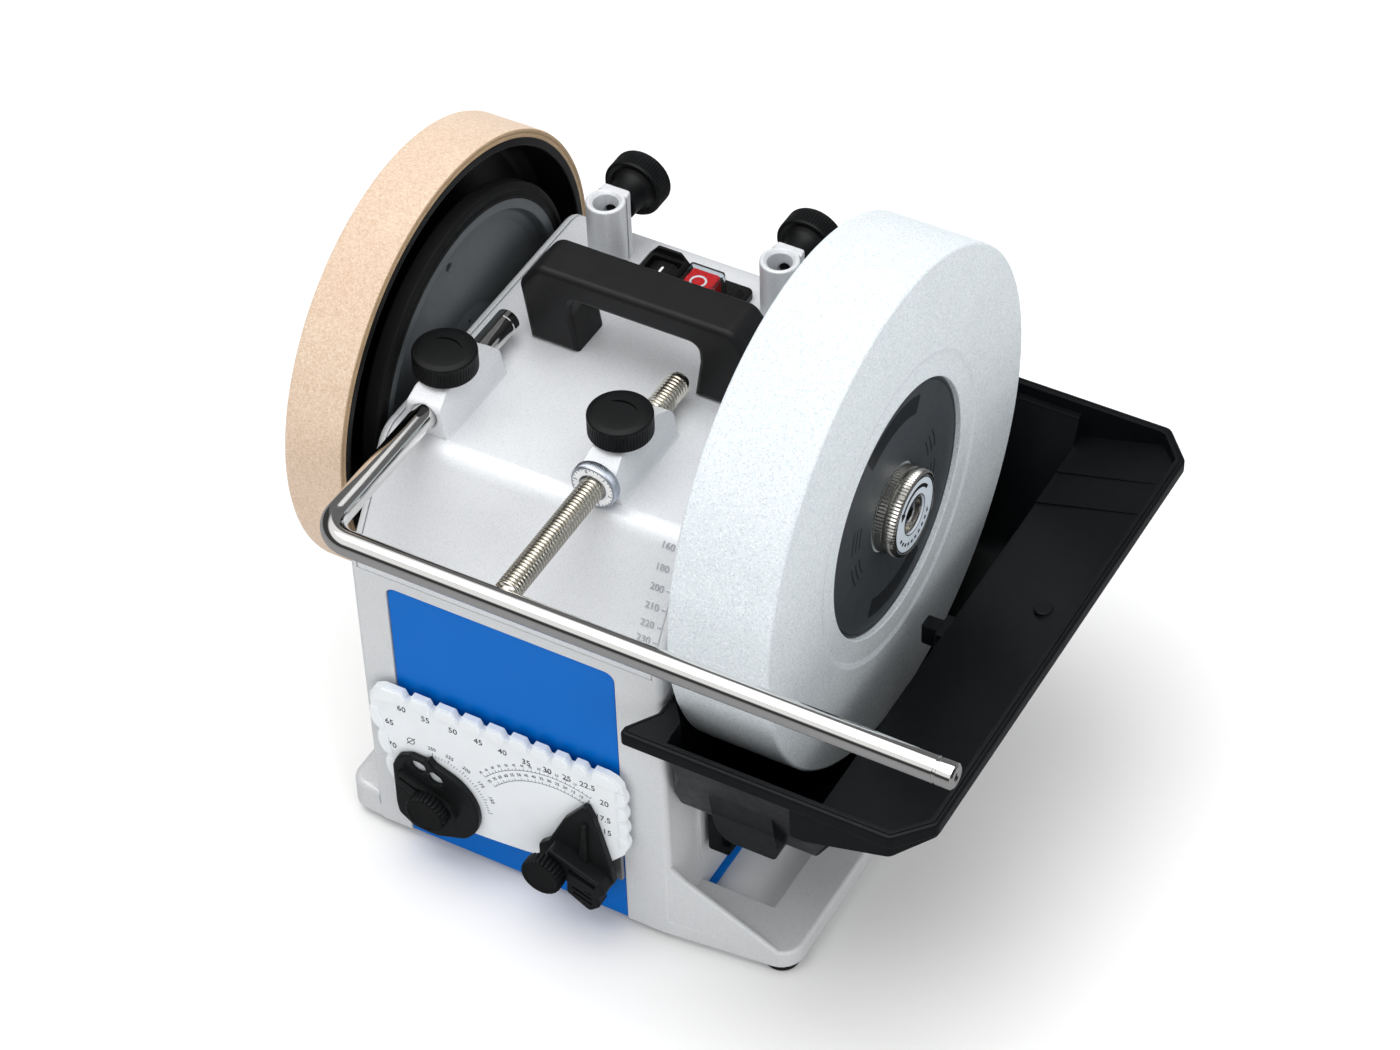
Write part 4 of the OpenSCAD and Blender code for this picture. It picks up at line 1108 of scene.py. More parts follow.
def switch():
    body = Solid().prism("z", TOP, TOP + 4.5, rect(-27.6, 26.5, 34, 70, 3.0, 5),
                         0.0, 1.4, 4).object()
    fuse(body, Solid().box(-22, 22, 39, 65, 212, TOP + 1, 1.0))
    # guard round the start button on the left, low lip on the right
    guard = rounded([(-26, TOP + 3), (-26, 243.5), (-20.5, 250), (-8.5, 250), (-2, 242.5),
                     (-2, TOP + 3)], [0, 1.6, 1.6, 1.6, 1.6, 0], 4)
    fuse(body, Solid().prism("y", 38.5, 64.5, guard, 0.9, 0.9, 3))
    lip = rounded([(17.6, TOP + 3), (18.4, 240.5), (22.5, 240.5), (25, TOP + 3)],
                  [0, 0.9, 1.2, 0], 3)
    fuse(body, Solid().prism("y", 38.5, 64.5, lip, 0.8, 0.8, 3))
    # stepped seat round the buttons
    cut(body, Solid().prism("z", 228, 252, rect(-21.6, -6.1, 42.2, 60.8, 1.2, 4)))
    cut(body, Solid().prism("z", 246.5, 252, rect(-23.2, -4.6, 40.4, 62.6, 1.8, 4)))
    cut(body, Solid().prism("z", 228, 252, rect(0.2, 15.8, 41, 59, 1.2, 4)))
    clean(body, 1e-3, 0.1)
    round_edges(body, width=0.35, segments=2, angle=50)
    finish(body, "switch_body", "switch_housing", "switch_black")


def start_button():
    outline = rounded([(-21, 231.5), (-21, 243.6), (-17, 245.5), (-10.5, 245.5), (-6.8, 243.6),
                       (-6.8, 231.5)], [0, 1.2, 2, 2, 1.2, 0], 4)
    button = Solid().prism("y", 43, 60, outline, 0.8, 0.8, 3)
    # white stroke
    button.prism("z", 245.3, 245.62, rect(-14.5, -13.3, 47.2, 55.8, 0.3, 2), 0, 0.1, 1, slot=1)
    finish(button, "start_push_button", "start_button", "button_green_black",
           ("button_green_black", "sign_white"))


def stop_button():
    outline = rounded([(0.8, 231.5), (0.8, 249.4), (15.2, 249.4), (15.2, 231.5)],
                      [0, 1.3, 1.3, 0], 4)
    button = Solid().prism("y", 41.6, 58.4, outline, 1.1, 1.1, 4)
    # white ring
    button.lathe("z", (8, 50), [(3.1, 249.25), (4.1, 249.25), (4.1, 249.56), (3.1, 249.56)],
                 48, slot=1)
    finish(button, "stop_push_button", "stop_button", "button_red", ("button_red", "sign_white"))


def stop_cover():
    """clear cap over the stop button, open below, on a thin collar"""
    outer, inner = (-1.2, 17.2, 39.6, 60.4), (-0.4, 16.4, 40.4, 59.6)
    cap = Solid().box(*outer, TOP + 4.5, 251.4, 1.7, 5).object()
    cut(cap, Solid().box(*inner, TOP + 2.5, 250.6, 1.1, 5))
    cut(cap, Solid().box(-3, 20, 38, 62, TOP + 2, TOP + 5.9))
    collar = Solid().prism("z", TOP + 4.5, TOP + 6.0, rect(*outer, 1.7, 4)).object()
    cut(collar, Solid().prism("z", TOP + 4, TOP + 6.6, rect(*inner, 1.1, 4)))
    fuse(cap, collar)
    clean(cap, 1e-3, 0.1)
    finish(cap, "stop_button_clear_cover", "stop_button_cover", "cover_clear")


housing()
cast_top()
blue_frame()
feet()
rails()
handle()
handle_screws()
frame_screws()
switch()
start_button()
stop_button()
stop_cover()

# ---------------------------------------------------- shaft and wheels

HONE_X0, HONE_X1 = -118.6, -87.6
LEATHER_IN, LEATHER_OUT = 105.7, 110.0
STONE_X0, STONE_X1, STONE_R = 88.0, 138.0, 125.0
PIN_X = -88.5


def shaft():
    end = SHAFT_LEFT
    rod = Solid().lathe("x", AXIS, eased(
        [(0, end), (6, end), (6, -127.2), (5.5, -126.6), (5.5, -121.2), (6, -120.6), (6, 136),
         (6, 142.6), (0, 142.6)], [0, 0.9, 0, 0, 0, 0, 0, 0.9, 0]), 64).object()
    cut(rod, Solid().prism("x", 138, 146, hexagon(3.46)))
    cut(rod, Solid().rod("z", SHAFT_Z - 8, SHAFT_Z + 8, (PIN_X, 0), 2.5, 32))
    finish(rod, "through_shaft", "main_shaft", "steel_plain", ("shaft_steel",), sharp=30)


def stone():
    phases = np.random.RandomState(7).uniform(0, 2 * math.pi, 6)
    waves = [3, 5, 9, 14, 23, 31]

    def uneven(radius, along, turn):
        if radius > 118:
            swell = sum(math.sin(waves[k] * turn + phases[k] + along * 0.05 * k)
                        for k in range(6)) / 6
            return radius + 0.05 * swell - 0.05, along
        return radius, along

    # the outer face is recessed for the label
    corners = [(6.06, STONE_X0), (STONE_R - 0.1, STONE_X0), (STONE_R - 0.1, STONE_X1),
               (76.0, STONE_X1), (73.2, 137.25), (62.9, 137.25), (62.4, 136.9),
               (62.4, 133.4), (6.06, 133.4)]
    outline = rounded(corners, [0.3, 1.5, 1.5, 2.0, 2.0, 0.5, 0.4, 0.2, 0], 4)
    # rings across the running face so that it is not one long strip
    profile = []
    for i, point in enumerate(outline):
        profile.append(point)
        after = outline[(i + 1) % len(outline)]
        if point[0] > 120 and after[0] > 120 and abs(point[1] - after[1]) > 20:
            for k in range(1, 12):
                profile.append((point[0] + (after[0] - point[0]) * k / 12,
                                point[1] + (after[1] - point[1]) * k / 12))
    wheel = Solid().lathe("x", AXIS, profile, 192, uneven)
    finish(wheel, "grindstone_wheel", "grinding_stone", "stone_grey", sharp=40)


def label():
    """paper disc printed with plain bands"""
    paper = Solid()
    disc = rounded([(21.8, 133.4), (62.3, 133.4), (62.3, 134.6), (21.8, 134.6)],
                   [0, 0, 0.3, 0.3], 2)
    paper.lathe("x", AXIS, disc, 128)
    paper.lathe("x", AXIS, [(60.4, 134.5), (60.9, 134.5), (60.9, 134.66), (60.4, 134.66)],
                128, slot=1)
    corner_radii = [2.2 if i in (0, 19, 20, 39) else 0 for i in range(40)]
    for start, end in ((62, 118), (-118, -62)):
        outline = rounded(band(*AXIS, 54.5, 45.0, start, end, 19), corner_radii, 3)
        paper.prism("x", 134.5, 134.68, outline, slot=1)
    for start, end in ((-24, -6), (6, 24), (156, 174), (186, 204)):
        for radius in (34, 37.5, 41):
            line = band(*AXIS, radius + 0.45, radius - 0.45, start, end, 8)
            paper.prism("x", 134.5, 134.66, line, slot=1)
    finish(paper, "stone_paper_label", "stone_label", "label_slate",
           ("label_slate", "label_dark"))


def flange():
    profile = rounded([(6.0, 82.6), (16, 82.6), (30, 85.4), (30, STONE_X0), (6.0, STONE_X0)],
                      [0.3, 1.2, 0.6, 0.3, 0], 3)
    finish(Solid().lathe("x", AXIS, profile, 96), "stone_inner_flange", "inner_flange",
           "steel_plain", ("shaft_steel",))


def drive_disc():
    corners = [(6.0, -95), (15, -95), (15, -91.5), (67, -92.6), (72, -92.6), (72, -93.4),
               (77.3, -93.4), (77.3, -84.4), (72.4, -84.4), (71.0, -88.6), (65.5, -89.8),
               (60, -89.4), (26, -87.6), (18, -85), (6.0, -85)]
    radii = [0.3, 0.8, 0.6, 0, 0.3, 0.3, 0.2, 0.2, 0.9, 2.2, 2.5, 0, 3, 1.2, 0.4]
    disc = Solid().lathe("x", AXIS, rounded(corners, radii, 4), 128).object()
    # countersunk hole near the rim
    cut(disc, Solid().lathe("x", (-8, SHAFT_Z + 59),
                            [(0, -100), (2.2, -100), (2.2, -89.9), (3.2, -88.6), (3.2, -80),
                             (0, -80)], 32))
    cut(disc, Solid().rod("z", SHAFT_Z - 22, SHAFT_Z + 22, (PIN_X, 0), 2.5, 32))
    finish(disc, "friction_drive_disc", "drive_disc", "disc_grey", sharp=35)


def tyre():
    corners = [(77.3, -93.6), (83.2, -93.6), (85, -92.4), (85, -85.6), (83.4, -84.4),
               (81.6, -84.4), (81.2, -84.9), (79.2, -84.9), (78.8, -84.4), (77.3, -84.4)]
    profile = rounded(corners, [0, 1.0, 0.9, 0.9, 0.8, 0.15, 0.2, 0.2, 0.15, 0], 3)
    finish(Solid().lathe("x", AXIS, profile, 160), "rubber_drive_tyre", "drive_tyre",
           "tyre_rubber")


def pin():
    low, high = SHAFT_Z - 17, SHAFT_Z + 17
    profile = eased([(0, low), (2.48, low), (2.48, high), (0, high)], [0, 0.6, 0.6, 0])
    finish(Solid().lathe("z", (PIN_X, 0), profile, 32), "cross_drive_pin", "drive_pin",
           "steel_plain")


def honing_drum():
    x0, x1, rim = HONE_X0, HONE_X1, LEATHER_IN
    corners = [(6.02, x0), (26, x0), (29, x0 + 2), (95, x0 + 2), (99, x0), (rim, x0),
               (rim, x1), (rim - 4.1, x1), (rim - 4.8, x0 + 12), (rim - 9.5, x0 + 6.5),
               (24, x0 + 6.5), (20, x0 + 9), (18, -95), (6.02, -95)]
    radii = [0.4, 1.0, 1.2, 2, 1.6, 0.4, 0.5, 0.9, 4, 5, 3, 1.5, 0.8, 0.3]
    drum = Solid().lathe("x", AXIS, rounded(corners, radii, 5), 160).object()
    # shallow ribs on the outer face
    ribs = Solid()
    rib = rounded([(34, -1.3), (92, -1.3), (92, 1.3), (34, 1.3)], 1.2, 3)
    for k in range(12):
        turn = math.radians(30 * k + 15)
        c, s = math.cos(turn), math.sin(turn)
        outline = [(x * c - y * s, SHAFT_Z + x * s + y * c) for x, y in rib]
        ribs.prism("x", x0 + 0.3, x0 + 3, outline, 0.5, 0, 2)
    fuse(drum, ribs)
    finish(drum, "honing_wheel_drum", "honing_wheel", "drum_black", sharp=35)


def leather():
    inner, outer = LEATHER_IN, LEATHER_OUT
    x0, x1 = HONE_X0 + 0.2, HONE_X1 - 0.2
    phases = np.random.RandomState(3).uniform(0, 2 * math.pi, 8)
    waves = [2, 3, 5, 7, 11, 17, 29, 41]

    def uneven(radius, along, turn):
        if radius > outer - 2.0:
            swell = sum(math.sin(waves[k] * turn + phases[k] + 0.11 * along * (k % 3 - 1))
                        / (1 + 0.4 * k) for k in range(8)) / 3
            radius += 0.09 * swell - 0.10
        elif radius > inner + 0.5:
            side = 1 if along > -103 else -1
            along -= side * (0.10 * math.sin(37 * turn + phases[2]) + 0.08)
        return radius, along

    # edge of the band: radius, distance in from its side
    edge = [(inner + 0.01, 0.2), (inner + 1.7, 0.1), (inner + 1.95, 0.5), (inner + 2.2, 0.1),
            (outer - 0.9, 0.1), (outer - 0.25, 0.45), (outer, 1.3)]
    profile = [(r, x0 + d) for r, d in edge]
    profile += [(outer, x0 + 1.3 + (x1 - x0 - 2.6) * k / 14) for k in range(1, 14)]
    profile += [(r, x1 - d) for r, d in edge[::-1]]
    strip = Solid().lathe("x", AXIS, profile, 288, uneven)
    # faces of the cut edges get the layered edge finish
    for k, face in enumerate(strip.faces):
        radii = [math.hypot(strip.verts[i][1], strip.verts[i][2] - SHAFT_Z) for i in face]
        places = [strip.verts[i][0] for i in face]
        if max(radii) < outer - 0.2 and (max(places) < x0 + 1.0 or min(places) > x1 - 1.0):
            strip.slots[k] = 1
    finish(strip, "honing_leather_band", "leather_strip", "leather_tan",
           ("leather_tan", "leather_edge"), sharp=60, weighted=False)


def hone_nut():
    x0, x1 = HONE_X0 - 8.4, HONE_X0 - 2.0
    nut = Solid().prism("x", x0, x1, hexagon(10.9)).object()
    clip(nut, Solid().lathe("x", AXIS, [(0, x0), (9.3, x0), (11.2, HONE_X0 - 7.2), (11.2, x1),
                                        (0, x1)], 64))
    cut(nut, Solid().lathe("x", AXIS, [(0, HONE_X0 - 10), (6.9, HONE_X0 - 10), (6.9, x0),
                                       (6.02, HONE_X0 - 7.6), (6.02, HONE_X0 + 1),
                                       (0, HONE_X0 + 1)], 48))
    finish(nut, "honing_wheel_hex_nut", "honing_wheel_nut", "steel_zinc")


def hone_washer():
    x0, x1 = HONE_X0 - 2, HONE_X0
    profile = rounded([(6.02, x0), (15, x0), (15, x1), (6.02, x1)], [0.2, 0.5, 0.2, 0.1], 3)
    finish(Solid().lathe("x", AXIS, profile, 64), "honing_wheel_washer_disc",
           "honing_wheel_washer", "steel_zinc")


def knurl(teeth, beyond, groove, span=(-math.inf, math.inf)):
    """lathe shape that grooves radii larger than beyond; groove(wave) is the depth, with
    wave 1 at each whole tooth and 0 half-way between"""
    def shape(radius, along, turn):
        if radius > beyond and span[0] < along < span[1]:
            wave = abs(((turn * teeth / (2 * math.pi)) % 1.0) - 0.5) * 2
            return radius - groove(wave), along
        return radius, along
    return shape


def lock_nut():
    teeth = 76
    profile = [(6.05, 134.0), (19.4, 134.0), (20.6, 134.5), (20.9, 134.8), (20.9, 138.4),
               (20.5, 138.8), (19.7, 139.0), (19.4, 139.2), (19.4, 139.6), (19.7, 139.8),
               (20.5, 140.0), (20.9, 140.4), (20.9, 144.4), (20.5, 144.9), (19.9, 145.25),
               (19.4, 145.4), (19.1, 145.4), (18.9, 145.2), (18.9, 144.2), (9.2, 144.2),
               (8.8, 144.2), (8.2, 143.6), (8.2, 141), (6.05, 141)]
    nut = Solid().lathe("x", AXIS, profile, teeth * 4,
                        knurl(teeth, 20.0, lambda wave: 0.42 * wave))
    finish(nut, "quick_lock_nut_body", "quick_lock_nut", "nut_nickel", sharp=38, weighted=False)


def lock_face():
    ring = rounded([(9.4, 144.2), (18.8, 144.2), (18.8, 145.0), (9.4, 145.0)],
                   [0, 0, 0.25, 0.25], 2)
    face = Solid().lathe("x", AXIS, ring, 96)
    for inner, outer in ((17.9, 18.6), (9.6, 10.1)):
        face.lathe("x", AXIS, [(inner, 144.9), (outer, 144.9), (outer, 145.06),
                               (inner, 145.06)], 96, slot=1)
    # turning arrow: shaft, then head
    face.prism("x", 144.9, 145.1, band(*AXIS, 15.0, 13.2, 30, 140, 23), slot=1)
    head = [polar(*AXIS, r, t) for r, t in ((16.6, 140), (14.1, 156), (11.6, 140))]
    face.prism("x", 144.9, 145.1, head, slot=1)
    for k in range(10):
        start = 200 + k * 14
        face.prism("x", 144.9, 145.08, band(*AXIS, 15.2, 13.6, start, start + 7, 1), slot=1)
    finish(face, "lock_nut_white_ring", "lock_nut_face", "dial_white",
           ("face_blue_white", "sign_black"))


shaft()
stone()
label()
flange()
drive_disc()
tyre()
pin()
honing_drum()
leather()
hone_nut()
hone_washer()
lock_nut()
lock_face()

# ---------------------------------------------------------- tool support

BAR_Y, BEND_R = -164.0, 14.0
BAR_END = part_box("support_bar")[1].x * 1000 - OFFSET_X

# rear end of the left leg: y, radius
LEG_END = [(-5.0, 4.4), (-5.05, 4.6), (-6.2, 5.8), (-6.5, LEG_R0), (-10.6, LEG_R0), (-10.9, 5.7),
           (-11.5, 5.7), (-11.8, LEG_R0), (-14.2, LEG_R0)]
# right end of the bar: distance from the end, radius
BAR_TIP = [(9.25, LEG_R0), (8.95, 5.55), (7.85, 5.55), (7.55, LEG_R0), (1.3, LEG_R0), (0.9, 5.92),
           (0.05, 5.0), (0, 4.8)]


def support_bar():
    """left leg, bend and cross bar in one"""
    path = [(LEG_L, y, LEG_Z) for y, r in LEG_END]
    radii = [r for y, r in LEG_END]
    leg_y, bend_x, bend_y = -14.2, LEG_L + BEND_R, BAR_Y + BEND_R
    path += [(LEG_L, leg_y + (bend_y - leg_y) * k / 8, LEG_Z) for k in range(1, 9)]
    path += [(x, y, LEG_Z) for x, y in arc(bend_x, bend_y, BEND_R, 180, 270, 16)[1:]]
    bar_x = BAR_END - 10.2
    path += [(bend_x + (bar_x - bend_x) * k / 20, BAR_Y, LEG_Z) for k in range(1, 21)]
    radii += [LEG_R0] * (8 + 16 + 20)
    path += [(BAR_END - d, BAR_Y, LEG_Z) for d, r in BAR_TIP]
    radii += [r for d, r in BAR_TIP]
    bar = Solid().tube(path, radii, 40).object()
    # centre hole in the end, seat of the threaded leg
    cut(bar, Solid().lathe("x", (BAR_Y, LEG_Z),
                           [(0, BAR_END - 4), (1.8, BAR_END - 3.4), (1.8, BAR_END - 0.6),
                            (2.5, BAR_END + 0.1), (2.5, BAR_END + 1), (0, BAR_END + 1)], 32))
    cut(bar, Solid().rod("y", BAR_Y + 1, BAR_Y + 8, (LEG_R, LEG_Z), 4.5, 40))
    finish(bar, "support_cross_bar", "support_bar", "bar_chrome", sharp=24, weighted=False)


THREAD_Y0, THREAD_Y1 = -157.0, -8.2
THREAD_OUT, THREAD_IN, THREAD_PITCH, THREAD_SEG = 5.96, 5.0, 2.0, 48


def thread_skin():
    """external thread along Y as one skin; rows follow the helix"""
    # share of the pitch, radius
    tooth = [(0.0, THREAD_IN), (0.12, THREAD_IN), (0.42, THREAD_OUT), (0.58, THREAD_OUT),
             (0.88, THREAD_IN)]
    n = len(tooth)
    seg = THREAD_SEG
    turns = int(math.ceil((THREAD_Y1 - THREAD_Y0) / THREAD_PITCH)) + 2
    rows = [(math.floor(k / n) + tooth[k % n][0], tooth[k % n][1])
            for k in range(-n, turns * n + 1)]
    verts = []
    for start, row_radius in rows:
        for i in range(seg):
            turn = 2 * math.pi * i / seg
            y = THREAD_Y0 + (start + i / seg) * THREAD_PITCH
            radius = row_radius
            if y <= THREAD_Y0 + 0.02 or y >= THREAD_Y1 - 0.02:
                y = min(max(y, THREAD_Y0), THREAD_Y1)
                radius = THREAD_IN
            verts.append((LEG_R + radius * math.cos(turn), y, LEG_Z + radius * math.sin(turn)))
    faces = []
    for j in range(len(rows) - 1):
        a, b = j * seg, (j + 1) * seg
        for i in range(seg):
            if i < seg - 1:
                faces.append([a + i, a + i + 1, b + i + 1, b + i])
            elif j + n + 1 < len(rows):
                faces.append([a + i, (j + n) * seg, (j + n + 1) * seg, b + i])
    return Solid().add(verts, faces)


def close_thread(ob):
    """drops folded slivers lying in the end planes and caps both ends"""
    bm = bmesh.new()
    bm.from_mesh(ob.data)
    bmesh.ops.remove_doubles(bm, verts=bm.verts, dist=2e-3)
    bmesh.ops.dissolve_degenerate(bm, edges=bm.edges, dist=1e-3)
    flat = [f for f in bm.faces
            if any(all(abs(v.co.y - end) < 1e-3 for v in f.verts)
                   for end in (THREAD_Y0, THREAD_Y1))]
    bmesh.ops.delete(bm, geom=flat, context="FACES")
    loose = [v for v in bm.verts if not v.link_faces]
    bmesh.ops.delete(bm, geom=loose, context="VERTS")
    rims = [e for e in bm.edges if e.is_boundary]
    bmesh.ops.holes_fill(bm, edges=rims, sides=0)
    bmesh.ops.recalc_face_normals(bm, faces=bm.faces)
    bm.to_mesh(ob.data)
    bm.free()


def threaded_leg():
    leg = thread_skin().object()
    close_thread(leg)
    y0, y1, core = THREAD_Y0, THREAD_Y1, THREAD_IN - 0.02
    # plain front end seated in the bar, and a turned rear end
    front = eased([(0, BAR_Y + 1.0), (4.5, BAR_Y + 1.0), (4.5, BAR_Y + 5.6), (5.9, BAR_Y + 6.2),
                   (5.9, y0 + 0.2), (core, y0 + 0.9), (0, y0 + 0.9)],
                  [0, 0.3, 0.1, 0.4, 0.2, 0, 0], 2)
    rear = eased([(0, y1 - 0.5), (core, y1 - 0.5), (5.0, -7.6), (4.55, -6.05), (4.4, -6.0),
                  (0, -6.0)], [0, 0, 0, 0.2, 0, 0], 2)
    for profile in (front, rear):
        join(leg, Solid().lathe("y", (LEG_R, LEG_Z), profile, THREAD_SEG))
    finish(leg, "threaded_support_leg", "threaded_leg", "thread_chrome", sharp=40,
           weighted=False)


def adjust_nut():
    y0, y1 = SLEEVE_Y0 - 5.6, SLEEVE_Y0 - 0.4
    teeth = 90
    centre = (LEG_R, LEG_Z)
    profile = [(6.06, y1), (10.7, y1), (11.1, y1 - 0.1), (11.5, y1 - 0.5), (11.5, y0 + 1.0),
               (11.1, y0 + 0.6), (10.9, y0 + 0.2), (10.6, y0), (10.2, y0), (10.2, y0 + 0.25),
               (6.9, y0 + 0.25), (6.9, y0), (6.6, y0), (6.06, y0 + 0.6)]
    nut = Solid().lathe("y", centre, profile, teeth * 4,
                        knurl(teeth, 11.15, lambda wave: 0.28 * wave))
    # white dial ring
    nut.lathe("y", centre, [(6.95, y0 + 0.3), (10.15, y0 + 0.3), (10.15, y0 + 0.06),
                            (6.95, y0 + 0.06)], 96, slot=1)
    tick_half = math.degrees(0.0132)
    for k in range(6):
        angle = 90 - 60 * k + 18
        c, s = math.cos(math.radians(angle)), math.sin(math.radians(angle))

        def on_dial(x, y, z, c=c, s=s):
            # text runs clockwise seen from the front, its top outwards
            radius = 8.85 + y
            return (LEG_R + radius * c + x * s, y0 + 0.03 + z, LEG_Z + radius * s - x * c)
        nut.text(str(k), 2.5, on_dial, 0.12, slot=2)
        for h in range(1, 5):
            tick = angle - 12 * h
            outline = [polar(*centre, r, tick + side * tick_half)
                       for r, side in ((9.3, -1), (10.05, -1), (10.05, 1), (9.3, 1))]
            nut.prism("y", y0, y0 + 0.08, outline, slot=2)
    finish(nut, "micro_adjust_nut_dial", "micro_adjust_nut", "steel_zinc",
           ("steel_zinc", "dial_white", "sign_black"), sharp=38, weighted=False)


support_bar()
threaded_leg()
adjust_nut()

# --------------------------------------------------------- locking knobs

KNOB_R, KNOB_H = 15.0, 12.0
FRONT_SEAT_Z = 254.5
REAR_SEAT = 11.9  # behind the upright sleeves' centre


def bow(sag, half_width, base, steps=24):
    """flat arc over a chord at base"""
    radius = (half_width * half_width + sag * sag) / (2 * sag)
    half = math.degrees(math.asin(half_width / radius))
    return arc(0, base + sag - radius, radius, 90 - half, 90 + half, steps)


def locking_knob(name, node, to_place, neck, neck_r, tip):
    """knob with its seat at 0; neck is the head's underside, tip the stud below the seat"""
    teeth = 62
    low, high = neck, neck + KNOB_H
    profile = [(0, -tip), (3.4, -tip), (3.98, 0.6 - tip), (3.98, 0), (neck_r - 0.3, 0)]
    if neck > 5:
        profile += [(neck_r, 0.4), (neck_r + 0.15, 5), (neck_r + 0.6, neck - 2.2),
                    (neck_r + 1.6, neck - 0.6), (neck_r + 2.6, neck + 0.25),
                    (11.6, neck + 0.6), (12.9, neck + 0.15), (13.7, neck)]
    else:
        profile += [(neck_r, 0.2), (neck_r + 0.3, neck - 0.2), (neck_r + 0.9, neck + 0.1),
                    (12.9, neck + 0.1), (13.7, neck)]
    profile += [(14.5, low + 0.2), (14.95, low + 0.9), (KNOB_R, low + 1.3), (KNOB_R, low + 1.8),
                (KNOB_R, low + 4), (KNOB_R, low + 7), (KNOB_R, high - 2.5),
                (KNOB_R, high - 1.9), (14.95, high - 1.6), (14.7, high - 1.15),
                (14.2, high - 0.86), (13.5, high - 0.72)]
    for k in range(10):
        turn = math.pi / 2 * k / 10
        profile.append((12.9 * math.cos(turn), high - 0.66 + 0.66 * math.sin(turn)))
    profile.append((0, high))
    shape = knurl(teeth, 14.2, lambda wave: 0.55 * max(0.0, 1 - wave * 2.2),
                  span=(neck + 1.2, neck + KNOB_H - 1.9))
    knob = Solid().lathe("z", (0, 0), profile, teeth * 5, shape).object()
    # sickle-shaped recess in the top
    sickle = bow(3.4, 7.2, 3.4) + bow(1.9, 7.2, 3.4)[::-1][1:-1]
    cut(knob, Solid().prism("z", high - 1.0, high + 2, sickle))
    for v in knob.data.vertices:
        v.co = to_place(v.co)
    finish(knob, name, node, "rubber_black", ("knob_black",), sharp=34, weighted=False)


def front_place(x):
    return lambda p: Vector((x + p.x, FRONT_KNOB_Y + p.y, FRONT_SEAT_Z + p.z))


def rear_place(x):
    return lambda p: Vector((x + p.x, UPRIGHT_Y + REAR_SEAT + p.z, REAR_KNOB_Z - p.y))


for side_name, knob_x in (("left", LEG_L), ("right", LEG_R)):
    locking_knob(f"front_{side_name}_locking_knob", f"front_{side_name}_knob",
                 front_place(knob_x), neck=1, neck_r=9,
                 tip=FRONT_SEAT_Z - (LEG_Z + 6 + 0.25))
for side_name, knob_x in zip(("left", "right"), UPRIGHT_X):
    locking_knob(f"rear_{side_name}_locking_knob", f"rear_{side_name}_knob",
                 rear_place(knob_x), neck=12, neck_r=8.6, tip=REAR_SEAT - 6.05 - 0.6)

# ------------------------------------------------------------ water tray

TRAY_X0, TRAY_X1, TRAY_Y, RIM_Z, TRAY_WALL = 83.2, 222.0, 145.0, 165.0, 2.6

# rim seen from above; its arms reach in front of and behind the housing
RIM = [(74, -TRAY_Y), (207, -TRAY_Y), (TRAY_X1, -TRAY_Y + 17), (TRAY_X1, TRAY_Y - 17),
       (207, TRAY_Y), (74, TRAY_Y), (74, TRAY_Y - 5), (TRAY_X0, 126), (TRAY_X0, -126),
       (74, -TRAY_Y + 5)]
RIM_RADII = [2.2, 5, 5, 5, 5, 2.2, 2.0, 3, 3, 2.0]
RIM_HOLLOW_CORNERS = (7, 8)

# floor of the shelf: y from, y to, height above the lowest level
SHELF_LEVELS = [(-74, 91, 0.0), (91 - 0.01, 113, 1.1), (113 - 0.01, TRAY_Y, 2.2),
                (-TRAY_Y, -74 + 0.01, 0.9)]


def trough_outline(d, top, radii):
    """end outline (y, z) of the trough moved inwards"""
    half = [(TRAY_Y - 5 - d, top), (TRAY_Y - 5 - d, 158), (110 - d, 88 + d * 0.3),
            (60 - d * 0.4, 66 + d)]
    return rounded([(-y, z) for y, z in half] + half[::-1], radii + radii[::-1], 5)


def narrow_trough(ob, d):
    """the trough narrows towards its ends and towards its bottom"""
    clearance = 0.1 if d else 0.0
    plan = rounded([(TRAY_X0 + d, -116), (92.5 + d, -127), (92.5 + d, -200), (190, -200),
                    (190, 200), (92.5 + d, 200), (92.5 + d, 127), (TRAY_X0 + d, 116)],
                   [6, 6, 0, 0, 0, 0, 6, 6], 4)
    right = 166 - d + clearance
    side = rounded([(80, 50), (152 - d, 50), (152 - d, 90 + d * 0.5), (right, 119 + d * 0.2),
                    (right, 400), (80, 400)], [0, 0, 5, 5, 0, 0], 4)
    clip(ob, Solid().prism("z", 50, 400, plan))
    clip(ob, Solid().prism("y", -210, 210, side))


def rim_outline(d):
    """rim outline moved inwards, its corner radii following"""
    radii = [r + d if i in RIM_HOLLOW_CORNERS else max(0.0, r - d)
             for i, r in enumerate(RIM_RADII)]
    return rounded(inset(RIM, d), radii, 5)


